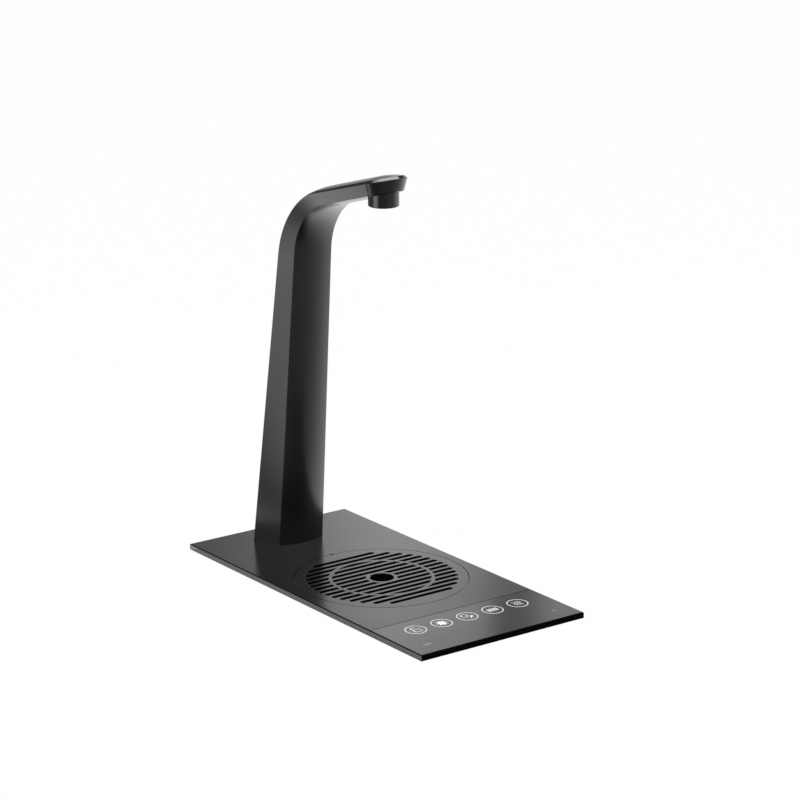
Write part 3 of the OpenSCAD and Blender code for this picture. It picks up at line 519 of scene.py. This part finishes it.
def column_rings(inset):
    """Rings of the section, shrunk by inset: x, y, z in millimetres, one row a station.
    Crown and bulge are parabolas across the width, faded by the squared cosine of the nose
    angle; a point at half width w sits at w cos(angle) across and w sin(angle) forward."""
    outer, inner = held(outer_line), held(inner_line)
    depth = np.linalg.norm(inner - outer, axis=1)[:, None]
    inward = (inner - outer) / depth
    angle = np.concatenate([np.zeros(len(outer_line)), nose_angle])[:, None]
    fade = np.cos(angle) ** 2
    wide = along(BACK_HALF) - inset
    narrow = along(FRONT_HALF) - inset
    bevel = along(BEVEL_D)
    t = np.linspace(-1, 1, POINTS_ACROSS)[None, :]
    crown_w, crown_d = t * (wide - BEVEL_W), inset - CROWN * fade * (1 - t * t)
    bulge_w, bulge_d = -t * narrow, depth - inset + along(BULGE) * fade * (1 - t * t)
    width = np.hstack([crown_w, wide, bulge_w, -wide])
    drop = np.hstack([crown_d, inset + bevel, bulge_d, inset + bevel])
    all_across = np.ones_like(t)
    run = np.hstack([(wide - BEVEL_W) * all_across, wide, narrow * all_across, wide]) * np.sin(angle)
    x = width * np.cos(angle)
    y = outer[:, :1] + inward[:, :1] * drop + arm_dir[0] * run
    z = outer[:, 1:] + inward[:, 1:] * drop + arm_dir[1] * run
    return np.stack([x, y, z], -1)


skin = np.concatenate([column_rings(0.0)[::-1], column_rings(WALL)])
column = add_piece(
    "column_skin", skin * MM, grid_faces(skin.shape[0], skin.shape[1], rings=True),
    "stand", cast_black_lightened, "satin_black_metal", sharp_degrees=COLUMN_SHARP)
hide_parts("column_shell")
print("column of", len(column.data.polygons), "faces")

# %% [markdown]
# The nozzle comes up through a round hole in the arm's underside, 0.3 mm wider than the
# nozzle all round. Rings of the loft could be laid round the hole, but that bends the clean
# grid. A Boolean modifier with a turned cylinder leaves the rest of the skin as it is, and
# its result is kept as the piece's mesh, so nothing live is left on it.

# %% Cut the nozzle's hole
HOLE_R, HOLE_LOW, HOLE_HIGH, HOLE_STEPS = 12.65, 310.0, 331.15, 96


def turned(profile, steps, axis_y):
    """Points of a closed profile of (radius, z), carried round an upright axis: radius times
    the cosine of the turn across, and axis_y plus radius times its sine along."""
    turn = np.linspace(0, 2 * np.pi, steps, endpoint=False)[:, None]
    radius, z = np.array(profile).T[:, None, :]
    return np.stack([radius * np.cos(turn), axis_y + radius * np.sin(turn), z + 0 * turn], -1)


cutter_profile = ((0, HOLE_LOW), (HOLE_R, HOLE_LOW), (HOLE_R, HOLE_HIGH), (0, HOLE_HIGH))
cutter = add_piece(
    "hole_cutter", turned(cutter_profile, HOLE_STEPS, -REACH) * MM,
    grid_faces(HOLE_STEPS, len(cutter_profile), rings=True, rows_meet=True),
    "stand", cast_black_lightened, "satin_black_metal")
cut = column.modifiers.new("hole", "BOOLEAN")
cut.operation, cut.object, cut.solver = "DIFFERENCE", cutter, "EXACT"
shown = bpy.context.evaluated_depsgraph_get()
cut_mesh = bpy.data.meshes.new_from_object(column.evaluated_get(shown))
column.modifiers.clear()
column.data = cut_mesh
bpy.data.objects.remove(cutter)
finish_mesh(column.data, False, COLUMN_SHARP)
print("hole cut, faces now", len(column.data.polygons))

# %% [markdown]
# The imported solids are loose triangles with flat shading. That suits the flat pieces, such as
# the plate and the control box, so they stay as they are, and their finish goes into their
# own material slots. The record says which slot and which body each node has.

# %% Give each node its finish
FINISHES = {
    "satin_black_metal": satin_black, "black_glass": panel_glass, "black_moulding": black_moulding,
    "seal_rubber": seal_rubber, "diffuser_film": diffuser_film, "board_green": board_green,
    "stainless": rolled_steel, "brass_fitting": turned_brass, "cast_foot": cast_metal,
    "water_tube": tube_plastic, "straightener_plastic": mesh_plastic}
record = frame["record"]
slot_of = {part["node"]: part["material_slot"] for part in record["subparts"]}
body_of = {node: body for body, nodes in record["behaviour"]["bodies"].items() for node in nodes}

for node, solid in sorted(frame["nodes"].items()):
    for place in solid.material_slots:
        place.material = FINISHES[slot_of[node]]
print("finishes on", len(frame["nodes"]), "nodes")

# %% [markdown]
# Turned and swept pieces would show their facets. Their nodes' own meshes may not be changed,
# so a copy of each is merged and shaded smooth across its shallow edges, with the real edges
# kept sharp, and stands for its node in the very same shape. Big faces set the shading, so
# that long thin triangles leave no streaks.

# %% Smooth copies of the round nodes
ROUND_NODES = {
    "nozzle", "nozzle_seal", "flow_straightener", "drip_bowl", "bowl_seal", "drain_spigot",
    "drain_washer", "drain_nut", "drain_strainer", "shank", "shank_washer", "backnut",
    "hot_tube", "chilled_tube", "sparkling_tube", "cable_gland", "foot_screws",
    "bowl_screws", "control_box_screws", "grille_pads"}
ROUND_SHARP = 28.0


def stand_in(node, ending):
    """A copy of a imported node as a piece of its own, which rides where the node rides."""
    mesh = frame["nodes"][node].data.copy()
    mesh.name = node + ending
    mesh.materials.clear()
    mesh.materials.append(FINISHES[slot_of[node]])
    piece = hang(node + ending, mesh, body_of[node])
    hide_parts(node)
    return piece


def smooth_copy(node):
    """A stand-in, merged, with all edges up to ROUND_SHARP degrees shaded smooth."""
    piece = stand_in(node, "_smooth")
    finish_mesh(piece.data, False, ROUND_SHARP)
    weights = piece.modifiers.new("weights", "WEIGHTED_NORMAL")
    weights.mode, weights.keep_sharp = "FACE_AREA", True


print("smooth copies for", len(ROUND_NODES), "of", len(frame["nodes"]), "nodes")

# %% [markdown]
# No real edge is perfectly sharp. The grille and the back of the glass have a broken edge,
# which makes the slots read wider and the seams darker. A Bevel modifier would break every
# edge of these pieces, the underside's too. So only the edges between the top face and an
# upright wall are picked out and bevelled, with a smaller width on the grille's rim, where
# the seam is narrow. Smooth and eased copies are then made in the order of the nodes' names.

# %% Eased copies of the grille and the glass
EASE = {"drip_grille": 0.0005, "touch_panel": 0.0004}
RIM_EASE, RIM_R, GRILLE_Y = 0.0004, 0.065, -0.127489
FLAT_TURN = math.radians(0.3)
TOP_TILT, WALL_TILT = 0.99, 0.3


def ease_top(mesh, width, has_rim):
    """Merges a mesh, joins what lies flat, and cuts a chamfer along each edge whose one face
    looks up, by more than TOP_TILT, and whose other is upright, within WALL_TILT."""
    work = bmesh.new()
    work.from_mesh(mesh)
    bmesh.ops.remove_doubles(work, verts=work.verts, dist=MERGE_DISTANCE)
    bmesh.ops.dissolve_limit(work, angle_limit=FLAT_TURN, verts=work.verts, edges=work.edges)
    inner, outer = [], []
    for edge in work.edges:
        tilts = sorted(face.normal.z for face in edge.link_faces)
        if len(tilts) == 2 and tilts[1] > TOP_TILT and abs(tilts[0]) < WALL_TILT:
            middle = (edge.verts[0].co + edge.verts[1].co) / 2
            on_rim = has_rim and math.hypot(middle.x, middle.y - GRILLE_Y) > RIM_R
            (outer if on_rim else inner).append(edge)
    for edges, offset in ((outer, RIM_EASE), (inner, width)):
        bmesh.ops.bevel(
            work, geom=edges, offset=offset, segments=1, affect="EDGES", clamp_overlap=False)
    work.to_mesh(mesh)
    work.free()
    mesh.shade_flat()
    return len(inner) + len(outer)


for node in sorted(ROUND_NODES | set(EASE)):
    if node in ROUND_NODES:
        smooth_copy(node)
    else:
        eased = stand_in(node, "_eased")
        edge_count = ease_top(eased.data, EASE[node], node == "drip_grille")
        print(node, "edges eased", edge_count)

# %% [markdown]
# The solids draw a thread as a plain cylinder. Cut threads would be slow solids, and a spiral
# bump would leave the outline straight. A ridge carried up a helix is light and reads right
# from the side. The shank's ridges lie clear of where its nut sits at rest, and they are kept
# low, because the nut is wound over them.

# %% Helical threads
THREADS = (
    # name, radius, pitch, ridge height and crest, low and high end, x and y of the axis
    ("shank_thread_low", 13.2, 2.0, 0.09, 1.0, -74.5, -45.0, 0.0, 0.0),
    ("shank_thread_high", 13.2, 2.0, 0.09, 1.0, -29.0, -8.5, 0.0, 0.0),
    ("drain_thread", 10.4, 1.8, 0.7, 0.2, -41.5, -34.5, 0.0, -127.5),
    ("gland_thread", 6.0, 1.5, 0.6, 0.2, -35.5, -24.5, -40.0, -254.55))
STEPS_A_TURN, ROOT_SHARE, ROOT_SUNK = 48, 0.45, 0.02


def thread(radius, pitch, height, crest, low, high, axis_x, axis_y):
    """Points and faces of a ridge, four corners at each step of its turn: the root reaches
    ROOT_SHARE of a pitch up and down and is sunk a little, and the crest is flat. Each step
    lies at the radius times cosine and sine, and rises evenly from end to end."""
    turns = (high - low) / pitch
    steps = int(turns * STEPS_A_TURN)
    angle = np.linspace(0, turns * 2 * np.pi, steps)[:, None]
    root = ROOT_SHARE * pitch
    ridge = np.array([[0, -root], [height, -crest / 2], [height, crest / 2], [0, root]])
    reach = radius - ROOT_SUNK + ridge[None, :, 0]
    lift = low + 0.5 * pitch + (high - low - pitch) * angle / angle[-1]
    points = np.stack([
        axis_x + reach * np.cos(angle), axis_y + reach * np.sin(angle), lift + ridge[None, :, 1]], -1)
    ends = np.array([[0, 1, 2, 3], [3, 2, 1, 0]]) + np.array([[0], [4 * (steps - 1)]])
    return points * MM, np.vstack([grid_faces(steps, 4, rings=True), ends])


for name, *sizes in THREADS:
    on_shank = name.startswith("shank")
    add_piece(
        name, *thread(*sizes), "stand", turned_brass if on_shank else black_moulding,
        "brass_fitting" if on_shank else "black_moulding")
print("threads", [name for name, *sizes in THREADS])

# %% [markdown]
# The keys are five lit rings with a sign in each. Drawn as curves they would need a bevel and
# a fill each, and a picture would blur close up. Every sign is made of strokes and dots, so
# two shapes are enough: a ribbon of even width along a line of points, and a disc, both laid
# just over the glass. All marks in one state, lit or faint, make one piece.

# %% Ribbons and discs for the key marks
MARK_Z = PLATE_T + 0.03
RING_POINTS, DISC_POINTS = 72, 32
mark_points = {"lit": [], "faint": []}
mark_faces = {"lit": [], "faint": []}


def lay(state, points, faces):
    """Adds flat faces to a state's marks. A face whose first two sides turn clockwise would
    look down, so its corners are taken the other way round."""
    first, second, third = (points[faces[:, corner]].T for corner in range(3))
    looks_down = cross(second - first, third - second) < 0
    faces[looks_down] = faces[looks_down, ::-1]
    mark_faces[state] += (faces + sum(map(len, mark_points[state]))).tolist()
    mark_points[state].append(np.column_stack([points, np.full(len(points), MARK_Z)]))


def stroke(state, line, width, closed=False):
    """Ribbon along a line of points, square at its ends: each point is moved half the width
    to either side, at right angles to the way from the point before it to the next."""
    line = np.asarray(line, float)
    ahead = np.roll(line, -1, 0) - np.roll(line, 1, 0)
    if not closed:
        ahead[0], ahead[-1] = line[1] - line[0], line[-1] - line[-2]
    ahead /= np.linalg.norm(ahead, axis=1)[:, None]
    side = np.column_stack([-ahead[:, 1], ahead[:, 0]]) * width / 2
    n = len(line)
    i = np.arange(n if closed else n - 1)
    j = (i + 1) % n
    lay(state, np.vstack([line - side, line + side]), np.stack([i, j, j + n, i + n], -1))


def circle(centre, radius, count):
    """Points evenly round a circle: the centre plus radius times cosine and sine."""
    turn = np.linspace(0, 2 * np.pi, count, endpoint=False)
    return centre + radius * np.column_stack([np.cos(turn), np.sin(turn)])


def ring(state, centre, radius, width):
    """A round stroke."""
    stroke(state, circle(centre, radius, RING_POINTS), width, closed=True)


def disc(state, centre, radius):
    """A round dot: triangles from its middle to its rim."""
    i = np.arange(DISC_POINTS)
    faces = np.stack([i, (i + 1) % DISC_POINTS, np.full(DISC_POINTS, DISC_POINTS)], -1)
    lay(state, np.vstack([circle(centre, radius, DISC_POINTS), centre]), faces)


print("mark helpers ready")

# %% [markdown]
# On such a tap the signs stand for the lock on boiling water, for chilled and sparkling
# water, and for warmth. The photograph shows each at about 18 pixels, too few to trace. So
# they are plain signs of that kind: an open padlock, a star, a circle with a drop, stacked
# waves and rising heat. Sizes are in millimetres from the key's middle.

# %% Draw the five signs
LOCK_BODY = np.array([[-2.8, 0.4], [3.8, 0.4], [3.8, -4.4], [-2.8, -4.4]])
LOCK_ARCH, LOCK_ARCH_R, LOCK_LEG = (-1.0, 2.9), (1.8, 2.0), (-2.8, -4.4)
LOCK_LINE, LOCK_ARCH_LINE = 0.7, 0.75
STAR_RAYS, STAR_FROM, STAR_TO, STAR_LINE = 8, 0.6, 5.0, 1.1
STAR_RING_R, STAR_RING_LINE = 2.5, 1.7
CIRCLE_AT, CIRCLE_R, CIRCLE_LINE = (-1.6, 2.1), 2.9, 0.75
DROP_AT, DROP_R, DROP_TAIL, TAIL_LINE = (3.1, -1.5), 1.5, [[2.3, -2.4], [0.8, -4.6]], 0.9
ARCH_POINTS, WAY_POINTS = 14, 33


def lock_sign(centre):
    """A rectangle, and half an ellipse over it that ends in one straight leg."""
    turn = np.linspace(0, np.pi, ARCH_POINTS)[:, None]
    arch = LOCK_ARCH + LOCK_ARCH_R * np.hstack([np.cos(turn), np.sin(turn)])
    stroke("lit", centre + np.vstack([arch, LOCK_LEG]), LOCK_ARCH_LINE)
    stroke("lit", centre + LOCK_BODY, LOCK_LINE, closed=True)


def star_sign(centre):
    """Strokes out from the middle, evenly round it, and a bold ring that joins them."""
    for ray in circle(0, 1, STAR_RAYS):
        stroke("lit", centre + np.outer([STAR_FROM, STAR_TO], ray), STAR_LINE)
    ring("lit", centre, STAR_RING_R, STAR_RING_LINE)


def drop_sign(centre):
    """A ring, and a dot beside it with a short tail."""
    ring("lit", centre + CIRCLE_AT, CIRCLE_R, CIRCLE_LINE)
    disc("lit", centre + DROP_AT, DROP_R)
    stroke("lit", centre + DROP_TAIL, TAIL_LINE)


def ripples(centre, half, apart, swing, rate, width, upright):
    """Three wavy lines side by side: at a way s along, swing times the sine of rate times s."""
    way = np.linspace(-half, half, WAY_POINTS)
    for offset in (-apart, 0, apart):
        line = np.column_stack([way, offset + swing * np.sin(way * rate)])
        stroke("lit", centre + (line[:, ::-1] if upright else line), width)


def wave_sign(centre):
    """Three nearly straight bands, one over the other."""
    ripples(centre, half=4.9, apart=1.8, swing=0.15, rate=1.9, width=1.05, upright=False)


def heat_sign(centre):
    """Three thin upright waves."""
    ripples(centre, half=3.9, apart=2.5, swing=0.7, rate=1.3, width=0.65, upright=True)


KEY_Y, KEY_PITCH, KEY_RING_R, KEY_LINE = -241.2, 25.2, 8.8, 0.75
SIGNS = (lock_sign, star_sign, drop_sign, wave_sign, heat_sign)
for place, sign in enumerate(SIGNS):
    key_middle = np.array([(place - 2) * KEY_PITCH, KEY_Y])
    ring("lit", key_middle, KEY_RING_R - KEY_LINE / 2, KEY_LINE)
    sign(key_middle)
print("keys at", [round((place - 2) * KEY_PITCH, 1) for place in range(len(SIGNS))])

# %% [markdown]
# Two faint marks sit at the strip's front corners. They aren't lit, and the photograph hardly
# shows their form, so they are three small rings on the left and a triangle on the right.
# With them the two pieces are complete: the lit marks and the faint ones. The faint ones are given a
# painted glow, as no lamp is behind them.

# %% Draw the corner marks and make the two pieces
CORNER_Y, CORNER_LINE = -271.6, 0.6
CORNER_RINGS_X, CORNER_RING_R = (-64.6, -62.0, -59.4), 1.0
TRIANGLE_X, TRIANGLE_R = 63.0, 2.4

for ring_x in CORNER_RINGS_X:
    ring("faint", np.array([ring_x, CORNER_Y]), CORNER_RING_R, CORNER_LINE)
turns = np.radians([[90], [210], [330]])
triangle = (TRIANGLE_X, CORNER_Y) + TRIANGLE_R * np.hstack([np.cos(turns), np.sin(turns)])
stroke("faint", triangle, CORNER_LINE, closed=True)

for state, finish in (("lit", lit_mark), ("faint", faint_mark_painted_glow)):
    name = state + "_key_marks"
    marks = new_mesh(name, np.vstack(mark_points[state]) * MM, mark_faces[state], finish)
    hang(name, marks, "stand")
print("key marks", {state: len(faces) for state, faces in mark_faces.items()})

# %% [markdown]
# A black gloss shows its surroundings more than itself, so most of this tap's look is what
# stands round it. A photographer sets up a panel for each highlight. That could be done here
# too, but it takes a dozen panels, and each lights more than its own place. Instead the floor
# and the sky have levels of their own in a gloss, which change with the direction from the
# tap. A row of levels lists turns in degrees from the front toward the right, so -90 is the
# left side and 180 the back. The arc tangent finds the turn, and a colour ramp the level.

# %% Levels by direction
GLOSS_MOST = 3.0


def x_of(sheet):
    """The x of a place, as a wire, with its y and z beside it."""
    return sheet.node("ShaderNodeSeparateXYZ", {}, {0: sheet.places}, out="X")


def ray_is(sheet, sort):
    """1 for a ray of that sort, Camera, Glossy or Transmission, and 0 for any other."""
    return sheet.node("ShaderNodeLightPath", out="Is " + sort + " Ray")


def level_round(sheet, across, forward, row):
    """The level of a row in a direction: the arc tangent of across over forward."""
    turn = sheet.calc("ARCTAN2", across, forward) * (0.5 / math.pi) + 0.5
    stops = [((at + 180) / 360, glow / GLOSS_MOST) for at, glow in row]
    return sheet.node("ShaderNodeValToRGB", {"stops": stops}, {0: turn})


print("a level by direction, up to", GLOSS_MOST)

# %% [markdown]
# The tap stands in a worktop, so the floor lies at the plate's underside, and it has a cut-out
# under the plate: through the grille only the dark bowl is seen. To the camera it is nearly
# white and still takes a soft shadow. In a gloss it follows one row of levels near the tap
# and another far off. Two small patches lie close to the plate, where the gloss of its own
# thin edges looks: a dark one before the front edge, and a bright one along the left edge.

# %% Worktop floor: what a gloss sees of it
GLOSS_NEAR = (
    (-180, 0.3), (-165, 0.4), (-156, 2.1), (-134.5, 2.1), (-128, 0.6), (-121, 0.1),
    (-115.5, 0.0), (-111, 1.5), (-106, 2.05), (-102, 1.9), (-94, 0.12), (-60, 0.12),
    (-20, 0.26), (20, 0.32), (36, 0.5), (48, 0.62), (74, 1.15), (100, 1.5), (118, 1.7),
    (138, 1.45), (160, 0.6), (180, 0.3))
GLOSS_FAR = (
    (-180, 0.2), (-118, 0.25), (-110, 2.4), (-84, 2.6), (-74, 0.2), (-20, 0.18), (-4, 0.28),
    (36, 0.5), (54, 1.1), (64, 1.6), (74, 1.2), (104, 1.3), (118, 1.4), (138, 0.62),
    (150, 0.48), (165, 0.28), (180, 0.25))
# Distances in metres: where near turns to far, and the middle that the turns are taken from.
NEAR_REACH, FAR_REACH, MIDDLE_FORWARD = 0.9, 1.1, 0.06
# Each patch: its middle and half size across, and then forward.
DARK_PATCH = ((0.009, 0.095), (0.2425, 0.0145))
BRIGHT_PATCH, BRIGHT_LEVEL = ((-0.09, 0.02), (0.066, 0.16)), 1.3


def floor_gloss(sheet):
    """Near and far levels by direction, blended by the distance, nothing on the dark patch,
    and a level of its own on the bright one."""
    across = x_of(sheet)
    forward = across.beside("Y") * -1 - MIDDLE_FORWARD
    reach = sheet.calc("SQRT", across * across + forward * forward)
    beam = sheet.blend(
        sheet.eased(reach, NEAR_REACH, FAR_REACH),
        level_round(sheet, across, forward, GLOSS_NEAR),
        level_round(sheet, across, forward, GLOSS_FAR))
    dark, bright = (
        sheet.calc("COMPARE", across, *sideways) * sheet.calc("COMPARE", forward, *lengthwise)
        for sideways, lengthwise in (DARK_PATCH, BRIGHT_PATCH))
    return beam * GLOSS_MOST * (1 - dark) * (1 - bright) + bright * BRIGHT_LEVEL


def floor_finish(name, level, seen_white):
    """A diffuse floor. For the camera, straight or through glass, a share seen_white of it is
    plain white light, and the rest keeps the shadow; a gloss sees the gloss levels alone."""
    sheet = Finish(name)
    sheet.give(sheet.shader, {
        "Base Color": grey(level), "Roughness": 0.9, "Specular IOR Level": 0.0})
    seen = ray_is(sheet, "Camera") + ray_is(sheet, "Transmission")
    gloss = ray_is(sheet, "Glossy")
    glow = sheet.node("ShaderNodeEmission", {}, {
        "Color": grey(1.0), "Strength": seen + gloss * floor_gloss(sheet)})
    sheet.show(sheet.node("ShaderNodeMixShader", {}, {
        0: seen * seen_white + gloss, 1: Wire(sheet, sheet.shader.outputs[0]), 2: glow}))
    return sheet.owner


pale_worktop = floor_finish("pale_worktop", 0.8, 0.99)
print("made", pale_worktop.name)

# %% [markdown]
# The floor itself is nine squares of a grid, three by three, with the middle one left out. A
# Boolean could cut the same hole, but this needs no cutting at all.

# %% Worktop floor with its cut-out
FLOOR_REACH, CUT_X, CUT_LOW, CUT_HIGH = 6.0, 0.0745, -0.2825, 0.0315
MIDDLE_SQUARE = 4

floor_x, floor_y = np.meshgrid(
    [-FLOOR_REACH, -CUT_X, CUT_X, FLOOR_REACH], [-FLOOR_REACH, CUT_LOW, CUT_HIGH, FLOOR_REACH])
floor_points = np.stack([floor_x, floor_y, 0 * floor_x], -1)
floor_quads = np.delete(grid_faces(4, 4), MIDDLE_SQUARE, 0)
floor = bpy.data.objects.new(
    "worktop", new_mesh("worktop", floor_points, floor_quads.tolist(), pale_worktop))
scene.collection.objects.link(floor)
print("floor with", len(floor_quads), "quads")

# %% [markdown]
# A lit card stands low behind the tap, to the right. The camera never sees it, but the flat
# plate and its glass mirror it. One plain lamp would leave them an even grey. The card's soft
# left edge makes the plate fade to black at its left, its falling top makes the touch strip
# darker toward the front, and a dark gap toward its right darkens the strip's right corner.

# %% Lit card behind the tap
CARD_Y, CARD_LEFT, CARD_RIGHT, CARD_LOW, CARD_TOP = 1.0, 0.45, 1.45, 0.002, 1.0
# The card's level from left to right, at places in metres, and its fall toward the top.
CARD_LEVELS = (
    (0.45, 0.3), (0.60, 0.45), (0.70, 0.85), (0.756, 1.07), (0.83, 1.42), (0.90, 1.28),
    (1.0, 1.15), (1.012, 0.32), (1.07, 0.38), (1.11, 1.1), (1.2, 1.1), (1.45, 0.2))
CARD_MOST, CARD_FALL, CARD_TOP_SHARE = 1.8, (0.56, 0.8), 0.4


def card_finish(name):
    """Glow by a row of levels across the card, falling to a share of it toward the top."""
    sheet = Finish(name)
    across = x_of(sheet)
    width = CARD_RIGHT - CARD_LEFT
    stops = [((at - CARD_LEFT) / width, glow / CARD_MOST) for at, glow in CARD_LEVELS]
    row = sheet.node("ShaderNodeValToRGB", {"stops": stops}, {0: (across - CARD_LEFT) * (1 / width)})
    upward = sheet.eased(across.beside("Z"), *CARD_FALL, CARD_MOST, CARD_MOST * CARD_TOP_SHARE)
    sheet.show(sheet.node("ShaderNodeEmission", {}, {"Color": grey(1.0), "Strength": row * upward}))
    return sheet.owner


card_x, card_z = np.meshgrid([CARD_LEFT, CARD_RIGHT], [CARD_LOW, CARD_TOP])
card_points = np.stack([card_x, card_x * 0 + CARD_Y, card_z], -1)
card = bpy.data.objects.new(
    "back_card", new_mesh("back_card", card_points, [[0, 1, 3, 2]], card_finish("back_card_glow")))
scene.collection.objects.link(card)
card.visible_camera = False
card.visible_diffuse = False
card.visible_shadow = False
print("card", CARD_RIGHT - CARD_LEFT, "by", CARD_TOP, "m")

# %% [markdown]
# The studio is white where the camera looks at it, straight or through glass, and calmer where
# it only lights. A plain white world would turn every black piece grey. So in a gloss it is
# nearly dark overhead, and over the horizon it has a bright band, whose level changes with
# the direction. That band is mostly seen mirrored twice, by the plate and then by the column.

# %% World
WORLD_SEEN, WORLD_OVERHEAD, WORLD_LIGHT = 1.0, 0.05, 0.3
# Heights over the horizon, as the sine of the rise: where the band and the haze end.
BAND_LOW, BAND_HIGH = 0.30, 0.42
HAZE_LOW, HAZE_HIGH, HAZE_LEVEL = 0.08, 0.2, 0.7
GLOSS_SKY = (
    (-180, 0.2), (-160, 0.2), (-140, 1.0), (-118, 2.0), (-84, 2.0), (-60, 1.3), (-10, 2.0),
    (40, 2.0), (70, 1.2), (110, 1.2), (135, 0.5), (150, 0.2), (180, 0.2))

sky = Sheet(bpy.data.worlds.new("white_studio"), "Background")
scene.world = sky.owner
across = x_of(sky)
forward, upward = across.beside("Y") * -1, across.beside("Z")
band = sky.eased(upward, BAND_LOW, BAND_HIGH, 1.0, 0.0)
haze = sky.eased(upward, HAZE_LOW, HAZE_HIGH, HAZE_LEVEL, 0.0)
in_gloss = level_round(sky, across, forward, GLOSS_SKY) * GLOSS_MOST * band + haze + WORLD_OVERHEAD
camera_ray, gloss_ray, through_ray = (
    ray_is(sky, sort) for sort in ("Camera", "Glossy", "Transmission"))
lighting = (1 - gloss_ray) * WORLD_LIGHT + gloss_ray * in_gloss
unseen = through_ray * WORLD_SEEN + (1 - through_ray) * lighting
sky.give(sky.shader, {
    "Color": grey(1.0), "Strength": camera_ray * WORLD_SEEN + (1 - camera_ray) * unseen})
print("world levels", WORLD_SEEN, WORLD_OVERHEAD, WORLD_LIGHT)

# %% [markdown]
# Three soft boxes, left, right and over the top, light the tap and lay its faint shadow on
# the floor, and no gloss shows them. A fourth, over the head, does the opposite: it lights
# nothing, and only the column mirrors it. Its edge is the light crescent that the photograph
# shows on the head. If all pieces mirrored it, the bowl would shine through the grille.

# %% Lamps
LAMP_AIM = Vector((0, -0.1, 0.15))
# Name, place, width and height in metres, and power in watts.
SOFT_BOXES = (
    ("left_box", (-1.5, 0.7, 0.6), 0.7, 1.0, 10.0),
    ("right_box", (1.4, -0.2, 0.5), 0.6, 1.1, 6.0),
    ("top_box", (-0.35, -0.2, 1.6), 0.8, 0.8, 12.0))
CRESCENT_BOX = ("crescent_box", (0.325, 0.25, 1.75), 1.85, 1.7, 78.0)


def soft_box(name, at, width, height, power):
    """A rectangular lamp at a place, turned toward the middle of the tap."""
    lamp = bpy.data.lights.new(name, "AREA")
    lamp.shape, lamp.size, lamp.size_y, lamp.energy = "RECTANGLE", width, height, power
    box = bpy.data.objects.new(name, lamp)
    box.location = at
    box.rotation_euler = (Vector(at) - LAMP_AIM).to_track_quat("Z", "Y").to_euler()
    scene.collection.objects.link(box)
    return box


for settings in SOFT_BOXES:
    soft_box(*settings).visible_glossy = False
crescent_box = soft_box(*CRESCENT_BOX)
crescent_box.rotation_euler = (0, 0, 0)
crescent_box.visible_diffuse = False
crescent_takers = bpy.data.collections.new("crescent_takers")
crescent_takers.objects.link(column)
crescent_box.light_linking.receiver_collection = crescent_takers
